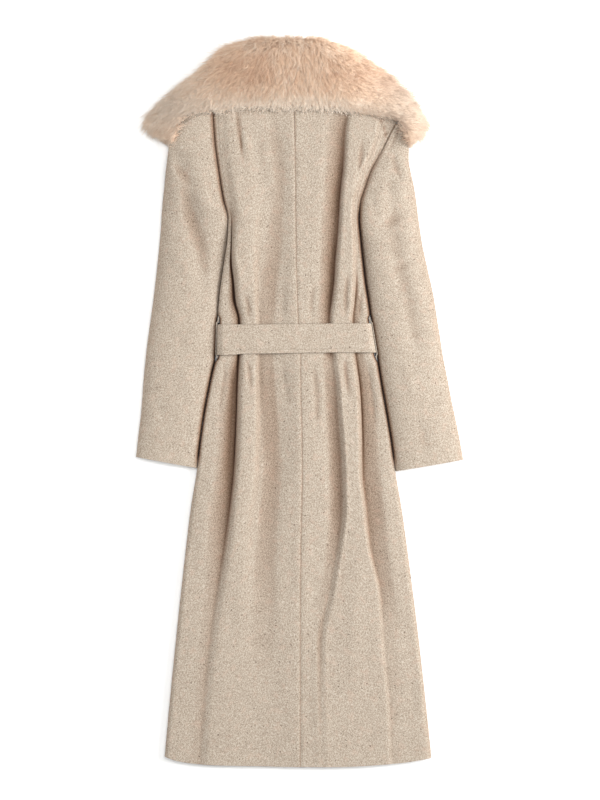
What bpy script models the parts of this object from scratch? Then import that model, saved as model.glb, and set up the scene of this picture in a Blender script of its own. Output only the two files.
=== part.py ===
"""A long belted wool coat with a broad fur collar, laid face down on a flat surface with its back up.

The cloth is cut and sewn as the real coat is: two back panels, two wrapped fronts, two-piece sleeves,
a fur collar that turns over the shoulders on to the fronts, a belt and its two loops.
x runs across the coat, y from the hem up to the collar, z up from the surface that the coat lies on.
Every table is in millimetres.
"""
import math

import bmesh
import bpy
import numpy as np

MM = 0.001
CLOTH = 2.4
BELT_THICKNESS = 3.0
LOOP_THICKNESS = 1.5
SEAM = 0.3
HALF = CLOTH / 2

# The rounded edge where an upper and a lower layer meet: its height, width and the gap at its seam.
EDGE_HEIGHT = 7.2
EDGE_WIDTH = 8.0
EDGE_SEAM = 0.9
UPPER_EDGE = EDGE_HEIGHT + EDGE_SEAM / 2
LOWER_EDGE = EDGE_HEIGHT - EDGE_SEAM / 2 - HALF
# How far the lower layer rises to the upper one at the shoulder seam.
SHOULDER_EDGE = UPPER_EDGE - CLOTH - SEAM - HALF
# Where the left front climbs on to the right one: how high, over what run, and clear of both edges.
WRAP_STEP = CLOTH + SEAM
WRAP_RUN = 13.0
WRAP_CLEAR_UNDER = 16.0
WRAP_CLEAR_INNER = 24.0

# What the cloth lies on, the lapels at the chest and the belt at the waist, and where it comes down again.
LAPEL_LIFT = 10.3
WAIST_LIFT = 6.9
CHEST_START_Y = 140.0
CHEST_RUN = 70.0
SKIRT_SETTLED_Y = 15.0
SKIRT_RUN = 55.0
SLEEVE_OUTER_SETTLED_Y = 335.0
SLEEVE_INNER_SETTLED_Y = 262.0
SLEEVE_RUN = 70.0
ARMHOLE_RUN = 25.0

BELT_LOW_Y = 82.0
BELT_HIGH_Y = 133.0
BELT_TOP_Z = 25.1
BELT_FRONT_END = 75.0
BELT_STEP_START = 8.0
BELT_STEP_END = 22.0
BELT_CLEARANCE = 0.9
BELT_ROWS = 4
BELT_ROUND = 6
LOOP_WIDTH = 8.0
# Along a belt loop: how far above the belt's upper edge, or below its lower one, each bend lies.
LOOP_TOP = 12.0
LOOP_UPPER_BEND = 7.0
LOOP_AT_BELT = 1.0
LOOP_LOWER_BEND = 6.0
LOOP_BOTTOM = 9.0

COLLAR_UNDERSIDE = 27.8
COLLAR_RIM = 9.0
COLLAR_LOW_SHARE = 0.04
COLLAR_TURN_CLEAR = 4.0
COLLAR_TURN_STEP = 1.5
COLLAR_LOW_EDGE = 3.0
COLLAR_LOW_EDGE_SHARE = 0.3
FLOOR_GAP = 0.3

ARMPIT_Y = 315.0
UNDER_COLLAR_Y = 505.0
LEFT_TOP_Y = 528.0
RIGHT_TOP_Y = 491.0
NECK_TOP_Y = 584.0


class Table:
    """Rows of sizes under named columns; the first column is the key that the others are read by."""

    def __init__(self, columns, rows):
        self.names = columns.split()
        self.rows = np.array(sorted(rows), dtype=float)

    def at(self, column, key):
        """Smooth value of a column, level beyond the first and the last row."""
        return smooth_curve(self.rows[:, 0], self.rows[:, self.names.index(column)], key)


def smooth_curve(keys, values, at):
    """A cubic through the rows that never swings past them."""
    at = np.clip(np.asarray(at, dtype=float), keys[0], keys[-1])
    run = np.diff(keys)
    slope = np.diff(values) / run
    bend = np.zeros(len(keys))
    same_way = slope[:-1] * slope[1:] > 0
    mean = 2 * slope[:-1] * slope[1:] / np.where(same_way, slope[:-1] + slope[1:], 1.0)
    bend[1:-1] = np.where(same_way, mean, 0.0)
    bend[0] = slope[0]
    bend[-1] = slope[-1]
    i = np.clip(np.searchsorted(keys, at, side="right") - 1, 0, len(run) - 1)
    t = (at - keys[i]) / run[i]
    start = values[i] * (1 + 2 * t) * (1 - t) ** 2 + bend[i] * run[i] * t * (1 - t) ** 2
    end = values[i + 1] * t ** 2 * (3 - 2 * t) - bend[i + 1] * run[i] * t ** 2 * (1 - t)
    return start + end


# Where body and sleeve lie side by side: the line between them, and how far apart their cloth lies.
LEFT_SIDE = Table("y line gap", [
    (528, -152, 2.7), (504, -152, 2.7), (453, -149, 2.7), (420, -145, 2.7), (385, -140, 2.7),
    (350, -134, 2.7), (315, -126, 2.7), (285, -127, 4.5), (242, -133, 5.0), (208, -138, 5.0),
    (175, -142, 6.0), (140, -144.5, 9.0), (107, -146, 10.5), (75, -147.7, 12.0), (48, -154, 8.0),
    (24, -159.5, 7.0), (-21, -168, 6.5), (-70, -175, 5.5), (-125, -181.5, 5.0), (-190, -192, 5.0),
    (-260, -200.5, 5.0), (-340, -209.5, 5.0), (-430, -219, 5.0), (-530, -229, 5.0), (-645, -238, 5.0),
])
RIGHT_SIDE = Table("y line gap", [
    (491, 173, 2.7), (471, 161, 2.7), (453, 152, 2.7), (429, 139, 2.7), (402, 124.5, 2.7),
    (374, 114.5, 2.7), (343, 105.5, 2.7), (315, 103.2, 2.7), (285, 105.5, 4.5), (242, 110, 5.0),
    (208, 114, 5.0), (175, 119.2, 5.5), (140, 124.5, 10.0), (107, 130, 10.5), (75, 135, 10.0),
    (48, 139.5, 7.5), (24, 144, 7.0), (-21, 152, 6.0), (-70, 160, 5.0), (-125, 167.5, 5.0),
    (-190, 178.8, 5.0), (-260, 188.5, 5.0), (-340, 199, 5.0), (-430, 210, 5.0), (-530, 221, 5.0),
    (-645, 231.5, 5.0),
])

# Shoulder seams and back neck, as seen from above.
SHOULDER = Table("x y", [
    (-152, 528), (-113, 553), (-74, 578), (-60, 584), (-30, 577), (0, 575), (28, 577), (56, 584),
    (70, 578), (122, 535), (173, 491),
])
HEM = Table("x y", [
    (-236, -626), (-215, -633), (-171, -639), (-73, -642), (0, -643), (58, -643), (171, -637), (230, -628),
])

# Across the back: where each fold line runs.
FOLD_PLACES = Table("y valley_left valley_centre centre_seam valley_right crease_right", [
    (505, -141, -51, -11, 85, 142), (472, -139, -49, -10, 79, 140), (429, -136, -42, -9, 77, 125),
    (402, -132, -40, -8.5, 75, 113), (374, -128, -38, -8, 72, 105), (343, -123, -39, -8, 69.5, 97),
    (315, -118, -40, -7.5, 68, 96), (285, -119, -41, -7, 66, 98), (242, -119.5, -44, -6.5, 62, 98.5),
    (208, -116, -48, -5.5, 60, 98), (175, -113.5, -51, -4.5, 56, 96), (140, -106, -55, -3, 52, 93),
    (107, -105.5, -56, -1, 52.5, 94), (75, -107, -55, 1, 54, 98), (24, -109.5, -53, 1.5, 60, 105),
    (-21, -111, -49, 2.5, 63, 108), (-70, -113, -47, 3.5, 67, 109.5), (-125, -116, -47, 4, 70, 110),
    (-190, -123, -56, 3, 71, 117), (-260, -133, -59, 1.5, 63, 125), (-340, -147, -58, 1, 50, 143),
    (-430, -160, -65, 1, 34, 149), (-530, -170, -68, 1, 35, 158), (-645, -177, -68, 1, 37, 163),
])
# Height of the back's cloth above the fronts' underside, on the same lines and on the ridges between.
FOLD_HEIGHTS = Table("y side_left valley_left ridge_left valley_centre centre_seam valley_right "
                     "ridge_right crease_right side_right", [
    (505, 11, 11.5, 14.5, 12, 14.5, 10, 15, 12.5, 11.5),
    (472, 12, 12, 16.5, 12, 15.5, 8.5, 17, 13, 12),
    (402, 12, 11.5, 18.5, 11.5, 16, 7.2, 19.5, 12.5, 12),
    (343, 12, 11.5, 19.5, 11, 16, 6.8, 20.5, 11.5, 12),
    (285, 11.8, 11.4, 20.5, 10.5, 16, 6.8, 20.5, 11.2, 11.8),
    (208, 11.8, 10, 20.5, 9.5, 16, 6.8, 20, 9.6, 11.8),
    (175, 12, 7.6, 19, 8.5, 15.5, 6.8, 18.5, 7.6, 12),
    (140, 12, 7, 15, 8.2, 14, 6.8, 15, 7, 12),
    (75, 12, 7, 15, 8.2, 14, 6.8, 15, 7, 12),
    (24, 13, 6.8, 19.5, 8, 15.5, 6.8, 19, 7, 12.5),
    (-70, 14, 6.8, 21.5, 8, 16.5, 6.8, 21.5, 7.2, 13),
    (-190, 14.5, 7.4, 21.5, 9.2, 17, 7.2, 21.5, 9, 13.5),
    (-260, 14.5, 8.8, 20, 10.4, 16.5, 8.8, 19.5, 11, 14.5),
    (-430, 14.5, 12, 17.5, 12, 16, 10.5, 17.5, 13, 15),
    (-645, 14, 13, 16, 13.2, 15.5, 12.2, 16.2, 14, 14.8),
])
# How far a ridge's crest stands from its crisp side.
RIDGE_LEFT_SET = 17.0
RIDGE_RIGHT_SET = 13.0
RIDGE_END_SET = 9.0
RIDGE_END_WIDTH = 0.5
# A side edge's rounding takes at most this share of the run to its nearest fold.
EDGE_SHARE = 0.55
# The fold lines' order across the back, and the columns of cloth in each run between them.
CENTRE_LINE = 4
LAST_LINE = 9
LEFT_RUN_COLUMNS = (2, 3, 4, 4)
RIGHT_RUN_COLUMNS = (3, 3, 2, 3, 5)

# A turned edge: how far in each column lies, and how far up it is.
TURN = ((0.0, 0.0), (0.02, 0.15), (0.14, 0.54), (0.45, 0.86), (1.0, 1.0))
PLAIN_TURN = ((0.0, 0.0), (0.02, 0.16), (0.3, 0.74), (1.0, 1.0))
# Rows of a body panel: the first three are measured down from the shoulder seam, the rest is y.
SHOULDER_ROWS = (0.0, 7.0, 14.0)
SHOULDER_REACH = 21.0
LEFT_ROWS = (505, 480, 453, 429, 402, 374, 343, 315)
RIGHT_ROWS = (471, 462, 453, 429, 402, 374, 343, 315)
BODY_ROWS = (285, 242, 208, 175, 140, 107, 75, 48, 24, -21, -70, -125, -190, -260, -340, -430, -530)
SHOULDER_FADE_Y = 402.0
SHOULDER_FULL = 10.0
LOWEST_ROW = -643.0

# Sleeve stations: where the inner end and the outer end of each lie, and the height of the crown.
LEFT_SLEEVE = Table("inner_y outer_y crown", [
    (528, 488, 8), (494, 466, 8), (455, 441, 9), (416, 410, 14), (368, 374, 16), (329, 340, 17),
    (287, 294, 18), (238, 242, 19), (189, 189, 19), (136, 136, 18), (107, 108, 18), (80, 84, 17.5),
    (24, 32, 16), (-32, -21, 14.5), (-80, -63, 13.5), (-119, -100, 13),
])
RIGHT_SLEEVE = Table("inner_y outer_y crown", [
    (491, 490, 8), (471, 469, 8.5), (453, 447, 10), (429, 422, 13), (402, 399, 16), (374, 374, 17),
    (343, 343, 18), (312, 312, 18.5), (270, 273, 19), (224, 231, 19), (175, 186, 19), (131, 136, 18),
    (100, 105, 18), (77, 84, 17.5), (28, 38, 16), (-21, -9, 15), (-70, -56, 14), (-125, -105, 13),
])
LEFT_SLEEVE_OUTER = Table("y x", [
    (488, -217), (466, -226), (441, -230), (410, -234), (374, -238), (340, -242), (294, -245),
    (242, -250), (189, -256), (136, -263), (108, -267), (84, -270), (32, -275), (-21, -279),
    (-63, -284), (-100, -288),
])
RIGHT_SLEEVE_OUTER = Table("y x", [
    (490, 197), (470, 195), (447, 191), (422, 190.5), (399, 194), (374, 200), (343, 205), (312, 209),
    (273, 215), (231, 224), (186, 234), (136, 242), (105, 247), (84, 250), (38, 259), (-9, 268),
    (-56, 278), (-105, 287),
])
SLEEVE_ROWS = (285, 242, 208, 175, 140, 107, 75, 48, 24, -21, -70)
LEFT_CUFF_Y = -119.0
RIGHT_CUFF_Y = -125.0
SLEEVE_ACROSS = 11
ARCH_POWER = 2.4
EDGE_RISE = 0.09
EDGE_INSET = 0.0015
# The long soft trough down each sleeve.
LEFT_TROUGH = Table("y x depth", [
    (450, -222, 0), (434, -217, 4), (368, -196, 6), (306, -186, 6), (259, -175, 5.5), (201, -170, 4),
    (158, -175, 1.5), (120, -180, 0),
])
RIGHT_TROUGH = Table("y x depth", [
    (420, 160, 0), (380, 158, 3), (320, 160, 4), (240, 172, 3), (180, 186, 3.5), (120, 198, 3), (60, 205, 0),
])
TROUGH_HALF_WIDTH = 15.0

# The fur collar from above, and how high it stands.
COLLAR_LOW = Table("x y", [
    (-275, 482), (-271, 471), (-262, 460), (-247, 450), (-233, 443), (-228, 455), (-224, 466), (-219, 478),
    (-210, 489), (-192, 496), (-152, 501), (-105, 504), (0, 504), (79, 501), (131, 494), (166, 487),
    (178, 480), (185, 466), (189, 452), (196, 443), (208, 450), (217, 462), (223, 481),
])
COLLAR_HIGH = Table("x y", [
    (-275, 490), (-270, 506), (-262, 515), (-240, 536), (-214, 556), (-184, 578), (-159, 600), (-138, 619),
    (-122, 626), (-84, 637), (-63, 640), (-18, 641), (26, 640), (52, 634), (70, 626), (91, 616),
    (112, 598), (142, 577), (159, 560), (180, 539), (196, 527), (208, 516), (217, 505), (223, 489),
])
COLLAR_CROWN = Table("x z", [
    (-275, 12), (-262, 26), (-240, 36), (-200, 43), (-120, 45), (0, 45), (110, 46), (170, 44), (200, 38),
    (214, 26), (223, 12),
])
# The edge of the cloth that the collar turns round, from the left sleeve over the shoulders to the right.
COLLAR_TURN = Table("x y", [
    (-231.5, 445), (-226, 468), (-217, 491), (-152, 531), (-74, 581), (-60, 587), (56, 587), (70, 581),
    (122, 542), (173, 500), (200, 497),
])
COLLAR_SECTIONS = (
    -275, -270, -262, -250, -240, -233.5, -231.8, -226, -217, -200, -175, -150, -120, -90, -60, -30, 0,
    30, 60, 90, 120, 145, 165, 178, 185, 192, 199.5, 201.2, 208, 216, 223,
)
COLLAR_TOP_POINTS = 12
COLLAR_LOW_ROUND = 14.0
COLLAR_HIGH_ROUND = 34.0

# The collar's lapels, under the chest.
NECK_LINE = Table("y left right", [(584, -60, 56), (150, 80, -80), (75, 86, -86), (-645, 100, -100)])
LEFT_LAPEL = Table("y outer", [
    (574, -62), (560, -96), (528, -146), (500, -190), (487, -212), (470, -221), (445, -225),
    (400, -186), (338, -128), (260, -84), (215, -68),
])
RIGHT_LAPEL = Table("y outer", [
    (574, 60), (560, 84), (528, 122), (500, 154), (487, 168), (470, 182), (445, 184), (400, 145),
    (338, 102), (260, 52), (200, 0), (152, -60),
])
LAPEL_ROUND = 4.0
LAPEL_CLEARANCE = 0.6
LAPEL_GAP = 1.0


def ease(t):
    """Rises from 0 to 1 with level ends."""
    t = np.clip(t, 0.0, 1.0)
    return t * t * (3 - 2 * t)


def side_edge(side, y, outward):
    """x of a panel's edge: the side line, moved square to itself by half the gap."""
    step = 1.0
    lean = (side.at("line", y + step) - side.at("line", y - step)) / (2 * step)
    return side.at("line", y) + outward * side.at("gap", y) / 2 * np.sqrt(1 + lean ** 2)


def body_lift(y):
    """Height of the fronts' underside: over the lapels, over the belt, and down on the surface."""
    chest = WAIST_LIFT + (LAPEL_LIFT - WAIST_LIFT) * ease((y - CHEST_START_Y) / CHEST_RUN)
    return chest * ease((y - SKIRT_SETTLED_Y) / SKIRT_RUN)


def sleeve_lift(across, y):
    """Height of the under sleeve's underside; across is 0 at the outer edge and 1 at the inner one."""
    settled_y = SLEEVE_OUTER_SETTLED_Y + (SLEEVE_INNER_SETTLED_Y - SLEEVE_OUTER_SETTLED_Y) * across
    return LAPEL_LIFT * ease((y - settled_y) / SLEEVE_RUN)


def armhole_open(y):
    """1 where the sleeve's layers run on into the body's, 0 where each has its own side."""
    return ease((y - ARMPIT_Y) / ARMHOLE_RUN + 1)


def spread(places, share):
    """Moves (place, height) pairs from their own places towards even ones."""
    last = len(places) - 1
    return [(place + (i / last - place) * share, up) for i, (place, up) in enumerate(places)]


def plain_turn(y):
    """The turned-up edge of a lower layer, which lies flat where the armhole is open."""
    opened = float(armhole_open(y))
    return [(inward, up + (1 - up) * opened) for inward, up in spread(PLAIN_TURN, opened)]


def back_lines(y):
    """x and height of every fold line across the back at y, side edges left out."""
    y = min(y, UNDER_COLLAR_Y)
    left = float(side_edge(LEFT_SIDE, y, 1))
    right = float(side_edge(RIGHT_SIDE, min(y, RIGHT_TOP_Y), -1))
    valley_left = float(FOLD_PLACES.at("valley_left", y))
    valley_right = float(FOLD_PLACES.at("valley_right", y))
    crease_right = float(FOLD_PLACES.at("crease_right", y))
    ridge_end = max(crease_right - RIDGE_END_SET, (valley_right + crease_right) / 2)
    places = [
        ("side_left", left + min(EDGE_WIDTH, EDGE_SHARE * (valley_left - left))),
        ("valley_left", valley_left),
        ("ridge_left", valley_left + RIDGE_LEFT_SET),
        ("valley_centre", float(FOLD_PLACES.at("valley_centre", y))),
        ("centre_seam", float(FOLD_PLACES.at("centre_seam", y))),
        ("valley_right", valley_right),
        ("ridge_right", min(valley_right + RIDGE_RIGHT_SET, ridge_end)),
        ("ridge_right", ridge_end + RIDGE_END_WIDTH),
        ("crease_right", crease_right),
        ("side_right", right - min(EDGE_WIDTH, EDGE_SHARE * (right - crease_right))),
    ]
    return [(x, float(FOLD_HEIGHTS.at(name, y))) for name, x in places]


def back_height(x, y):
    """Height of the middle of the back's cloth, side edges left out."""
    lines = back_lines(y)
    base = float(body_lift(y))
    if x <= lines[0][0]:
        return base + lines[0][1]
    for (x0, h0), (x1, h1) in zip(lines, lines[1:]):
        if x <= x1:
            return base + h0 + (h1 - h0) * float(ease((x - x0) / (x1 - x0)))
    return base + lines[-1][1]


def body_rows(first_rows, top_y):
    """(y, how much of the shoulder slope it has, how far it has turned up) for each row of a panel."""
    rows = [(top_y - down, 1.0, float(ease(down / SHOULDER_REACH))) for down in SHOULDER_ROWS]
    sloped = top_y - SHOULDER_FULL - SHOULDER_FADE_Y
    for y in first_rows + BODY_ROWS:
        rows.append((y, float(ease((y - SHOULDER_FADE_Y) / sloped)), 1.0))
    rows.append((LOWEST_ROW, 0.0, 1.0))
    return rows


def row_point_y(x, y, slope, edge):
    """y of a point of a row: the row's own at its edge, raised towards the neck, or shaped as the hem."""
    if y == LOWEST_ROW:
        return float(HEM.at("y", x))
    return y + float(SHOULDER.at("y", x) - SHOULDER.at("y", edge)) * slope


def between(places, steps):
    """Splits each run between neighbouring places into its number of equal steps."""
    out = [places[0]]
    for start, end, count in zip(places, places[1:], steps):
        out += [start + (end - start) * (i + 1) / count for i in range(count)]
    return out


def back_panel(is_left):
    """Points of a back panel, row by row, from its side seam to the centre seam."""
    side, top_y, first_rows, outward = (
        (LEFT_SIDE, LEFT_TOP_Y, LEFT_ROWS, 1) if is_left else (RIGHT_SIDE, RIGHT_TOP_Y, RIGHT_ROWS, -1))
    grid = []
    for y, slope, rise in body_rows(first_rows, top_y):
        lines = [x for x, _ in back_lines(y)]
        edge = float(side_edge(side, y, outward))
        seam = lines[CENTRE_LINE] - outward * SEAM / 2
        if is_left:
            first = lines[0]
            places = between(lines[:CENTRE_LINE] + [seam], LEFT_RUN_COLUMNS)
        else:
            first = lines[LAST_LINE]
            places = between(lines[:CENTRE_LINE:-1] + [seam], RIGHT_RUN_COLUMNS)
        turned = [(edge + (first - edge) * inward, up) for inward, up in spread(TURN, 1 - rise)[:-1]]
        row = []
        for x, up in turned + [(x, 1.0) for x in places]:
            point_y = row_point_y(x, y, slope, edge)
            low = float(body_lift(point_y)) + UPPER_EDGE
            row.append((x, point_y, low + (back_height(x, point_y) - low) * up * rise))
        grid.append(row)
    return grid


def front_panel(is_left):
    """Points of a front, row by row, from its side seam to its wrapped edge."""
    side, top_y, first_rows, outward = (
        (LEFT_SIDE, LEFT_TOP_Y, LEFT_ROWS, 1) if is_left else (RIGHT_SIDE, RIGHT_TOP_Y, RIGHT_ROWS, -1))
    grid = []
    for y, slope, rise in body_rows(first_rows, top_y):
        edge = float(side_edge(side, y, outward))
        neck_y = y + (NECK_TOP_Y - top_y) * slope
        inner = float(NECK_LINE.at("left" if is_left else "right", neck_y))
        flat_start = edge + outward * EDGE_HEIGHT
        turned = [(edge + (flat_start - edge) * inward, up) for inward, up in plain_turn(y)[:-1]]
        if is_left:
            under = float(NECK_LINE.at("right", neck_y))
            step_start = min(under - WRAP_CLEAR_UNDER, inner - WRAP_CLEAR_INNER)
            places = between([flat_start, step_start, step_start + WRAP_RUN, inner], (3, 2, 3))
        else:
            places = between([flat_start, inner], (6,))
        row = []
        for x, up in turned + [(x, 1.0) for x in places]:
            point_y = row_point_y(x, y, slope, edge)
            z = float(body_lift(point_y)) + HALF
            z += LOWER_EDGE * (1 - up) * rise ** 3 + SHOULDER_EDGE * (1 - rise)
            if is_left:
                z += WRAP_STEP * float(ease((x - step_start) / WRAP_RUN)) * rise
            row.append((x, point_y, z))
        grid.append(row)
    return grid


def sleeve_rows(is_left):
    """(inner y, how far it has turned up) for each station of a sleeve."""
    top_y = LEFT_TOP_Y if is_left else RIGHT_TOP_Y
    rows = [(top_y - down, float(ease(down / SHOULDER_REACH))) for down in SHOULDER_ROWS]
    for y in (LEFT_ROWS if is_left else RIGHT_ROWS) + SLEEVE_ROWS:
        rows.append((y, 1.0))
    rows.append((LEFT_CUFF_Y if is_left else RIGHT_CUFF_Y, 1.0))
    return rows


def sleeve_ends(is_left, inner_y):
    """The outer and the inner end of a sleeve's station."""
    table, outer_table, side, outward = (
        (LEFT_SLEEVE, LEFT_SLEEVE_OUTER, LEFT_SIDE, -1) if is_left
        else (RIGHT_SLEEVE, RIGHT_SLEEVE_OUTER, RIGHT_SIDE, 1))
    outer_y = float(table.at("outer_y", inner_y))
    outer_x = float(outer_table.at("x", outer_y)) - outward * HALF
    inner_x = float(side_edge(side, inner_y, outward))
    return np.array((outer_x, outer_y)), np.array((inner_x, inner_y))


def sleeve_section():
    """Places across the sleeve and how much of the crown each has; the cloth is upright at both edges."""
    places = [(0.0, 0.0), (EDGE_INSET, EDGE_RISE)]
    for i in range(1, SLEEVE_ACROSS):
        across = (1 - math.cos(math.pi * i / SLEEVE_ACROSS)) / 2
        places.append((across, (1 - abs(2 * across - 1) ** ARCH_POWER) ** 0.5))
    return places + [(1.0 - EDGE_INSET, EDGE_RISE), (1.0, 0.0)]


def upper_sleeve(is_left):
    """Points of the sleeve's upper piece, which arches from the outer seam to the inner one."""
    table, trough = (LEFT_SLEEVE, LEFT_TROUGH) if is_left else (RIGHT_SLEEVE, RIGHT_TROUGH)
    grid = []
    for inner_y, rise in sleeve_rows(is_left):
        outer, inner = sleeve_ends(is_left, inner_y)
        crown_height = float(table.at("crown", inner_y))
        row = []
        for across, arch in spread(sleeve_section(), 1 - rise):
            x, y = outer + (inner - outer) * across
            crown = crown_height * arch
            off_trough = (x - float(trough.at("x", y))) / TROUGH_HALF_WIDTH
            dip = float(trough.at("depth", y)) * math.exp(-off_trough ** 2)
            crown -= min(dip, 0.6 * crown)
            low = float(sleeve_lift(across, inner_y)) + UPPER_EDGE
            row.append((x, y, low + crown * rise))
        grid.append(row)
    return grid


def under_sleeve(is_left):
    """Points of the sleeve's under piece, flat but for its turned-up edges."""
    grid = []
    for inner_y, rise in sleeve_rows(is_left):
        outer, inner = sleeve_ends(is_left, inner_y)
        width = float(np.linalg.norm(inner - outer))
        turn = EDGE_HEIGHT / width
        places = [(turn * inward, up) for inward, up in spread(PLAIN_TURN, 1 - rise)]
        places += [(0.5, 1.0)]
        places += [(1 - turn * inward, up) for inward, up in plain_turn(inner_y)[::-1]]
        row = []
        for across, up in places:
            x, y = outer + (inner - outer) * across
            z = float(sleeve_lift(across, inner_y)) + HALF
            z += LOWER_EDGE * (1 - up) * rise ** 3 + SHOULDER_EDGE * (1 - rise)
            row.append((x, y, z))
        grid.append(row)
    return grid


def belt_band():
    """Points along the belt, from its inner end in front round the back to its outer end."""
    grid = []
    middle_z = (BELT_TOP_Z + BELT_THICKNESS / 2) / 2
    radius = middle_z - BELT_THICKNESS / 2
    inner_layer_z = BELT_THICKNESS * 1.5 + SEAM
    clear = HALF + BELT_CLEARANCE + BELT_THICKNESS / 2
    for i in range(BELT_ROWS + 1):
        y = BELT_LOW_Y + (BELT_HIGH_Y - BELT_LOW_Y) * i / BELT_ROWS
        left = float(side_edge(LEFT_SIDE, y, 1)) - clear + radius
        right = float(side_edge(RIGHT_SIDE, y, -1)) + clear - radius
        row = [(BELT_FRONT_END, y, inner_layer_z)]
        row.append((-BELT_FRONT_END - BELT_STEP_START, y, inner_layer_z))
        row.append((-BELT_FRONT_END - BELT_STEP_END, y, BELT_THICKNESS / 2))
        for step in range(BELT_ROUND + 1):
            angle = math.pi * step / BELT_ROUND
            row.append((left - radius * math.sin(angle), y, middle_z - radius * math.cos(angle)))
        row += [(left + (right - left) * step / 4, y, BELT_TOP_Z) for step in (1, 2, 3)]
        for step in range(BELT_ROUND + 1):
            angle = math.pi * step / BELT_ROUND
            row.append((right + radius * math.sin(angle), y, middle_z + radius * math.cos(angle)))
        row.append((-BELT_FRONT_END, y, BELT_THICKNESS / 2))
        grid.append(row)
    return grid


def belt_loop(is_left):
    """Points of a belt loop, which stands out from the side seam round the belt."""
    side, outward = (LEFT_SIDE, -1) if is_left else (RIGHT_SIDE, 1)
    seated = HALF + BELT_CLEARANCE + LOOP_THICKNESS / 2
    over_belt = seated + BELT_THICKNESS + SEAM
    path = []
    for y, out in ((BELT_HIGH_Y + LOOP_TOP, seated), (BELT_HIGH_Y + LOOP_UPPER_BEND, seated),
                   (BELT_HIGH_Y + LOOP_AT_BELT, over_belt), ((BELT_LOW_Y + BELT_HIGH_Y) / 2, over_belt),
                   (BELT_LOW_Y - LOOP_AT_BELT, over_belt), (BELT_LOW_Y - LOOP_LOWER_BEND, seated + SEAM),
                   (BELT_LOW_Y - LOOP_BOTTOM, seated)):
        path.append((float(side_edge(side, y, -outward)) + outward * out, y))
    grid = []
    for i in range(3):
        z = WAIST_LIFT + EDGE_HEIGHT + LOOP_WIDTH * (i / 2 - 0.5)
        grid.append([(x, y, z) for x, y in path])
    return grid


def rounded(distance, reach):
    """A quarter round: 0 at the edge, 1 from its reach inwards."""
    return math.sqrt(max(0.0, 1 - (1 - min(distance / reach, 1.0)) ** 2))


def collar_rings():
    """Sections of the fur that lies over the back and turns down round the shoulders."""
    rings = []
    for x in COLLAR_SECTIONS:
        low = float(COLLAR_LOW.at("y", x))
        high = float(COLLAR_HIGH.at("y", x))
        crown = float(COLLAR_CROWN.at("z", x))
        length = high - low
        over_cloth = COLLAR_TURN.rows[0, 0] < x < COLLAR_TURN.rows[-1, 0]
        under = COLLAR_UNDERSIDE if over_cloth else FLOOR_GAP
        turn = low + 0.5 * length
        if over_cloth:
            turn = max(float(COLLAR_TURN.at("y", x)), low + COLLAR_TURN_CLEAR)
        rim = min(COLLAR_RIM, 0.5 * crown)
        low_edge = under + min(COLLAR_LOW_EDGE, COLLAR_LOW_EDGE_SHARE * crown)
        first = low + COLLAR_LOW_SHARE * length
        down = turn + COLLAR_TURN_STEP
        ring = [(x, first + (turn - first) * i / 3, under) for i in range(4)]
        ring += [(x, down + (high - down) * part, FLOOR_GAP) for part in (0.0, 0.5, 0.85)]
        for i in range(COLLAR_TOP_POINTS + 1):
            along = (1 - math.cos(math.pi * i / COLLAR_TOP_POINTS)) / 2
            y = high - length * along
            down_low = 1 - rounded(y - low, min(COLLAR_LOW_ROUND, 0.5 * length))
            down_high = 1 - rounded(high - y, min(COLLAR_HIGH_ROUND, 0.5 * length))
            ring.append((x, y, crown - (crown - low_edge) * down_low - (crown - rim) * down_high))
        rings.append(ring)
    return rings


def lapel_rings(is_left):
    """Sections of a lapel, flat under the chest, from the shoulder down to the wrap."""
    table = LEFT_LAPEL if is_left else RIGHT_LAPEL
    rings = []
    for y, outer in table.rows:
        inner = float(NECK_LINE.at("right", y))
        if is_left:
            inner = min(float(NECK_LINE.at("left", y)), inner - LAPEL_GAP)
        x0, x1 = sorted((inner, outer))
        edge = min(LAPEL_ROUND, (x1 - x0) / 3)
        top = float(body_lift(y)) - LAPEL_CLEARANCE
        rings.append([
            (x0, y, top / 2), (x0 + edge, y, 0.0), ((x0 + x1) / 2, y, 0.0), (x1 - edge, y, 0.0),
            (x1, y, top / 2), (x1 - edge, y, top), ((x0 + x1) / 2, y, top), (x0 + edge, y, top),
        ])
    return rings


def cloth_material(name, colour, roughness):
    """A matt fabric."""
    material = bpy.data.materials.new(name)
    material.use_nodes = True
    shader = material.node_tree.nodes["Principled BSDF"]
    shader.inputs["Base Color"].default_value = (*colour, 1.0)
    shader.inputs["Roughness"].default_value = roughness
    shader.inputs["Metallic"].default_value = 0.0
    return material


def add_object(name, mesh, material, collection):
    """Puts a mesh in the coat's collection, smooth where it bends softly."""
    mesh.materials.append(material)
    mesh.shade_smooth()
    mesh.set_sharp_from_angle(angle=math.radians(50))
    piece = bpy.data.objects.new(name, mesh)
    collection.objects.link(piece)
    return piece


def add_sheet(name, points, thickness, material, collection):
    """A flat grid laid on the points, row by row, then given its thickness."""
    rows = len(points)
    columns = len(points[0])
    bm = bmesh.new()
    bmesh.ops.create_grid(bm, x_segments=columns - 1, y_segments=rows - 1, size=0.5)
    for vertex in bm.verts:
        column = round((vertex.co.x + 0.5) * (columns - 1))
        row = round((vertex.co.y + 0.5) * (rows - 1))
        vertex.co = [size * MM for size in points[row][column]]
    mesh = bpy.data.meshes.new(name)
    bm.to_mesh(mesh)
    bm.free()
    piece = add_object(name, mesh, material, collection)
    wall = piece.modifiers.new("Cloth thickness", "SOLIDIFY")
    wall.thickness = thickness * MM
    wall.offset = 0.0
    return piece


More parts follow.
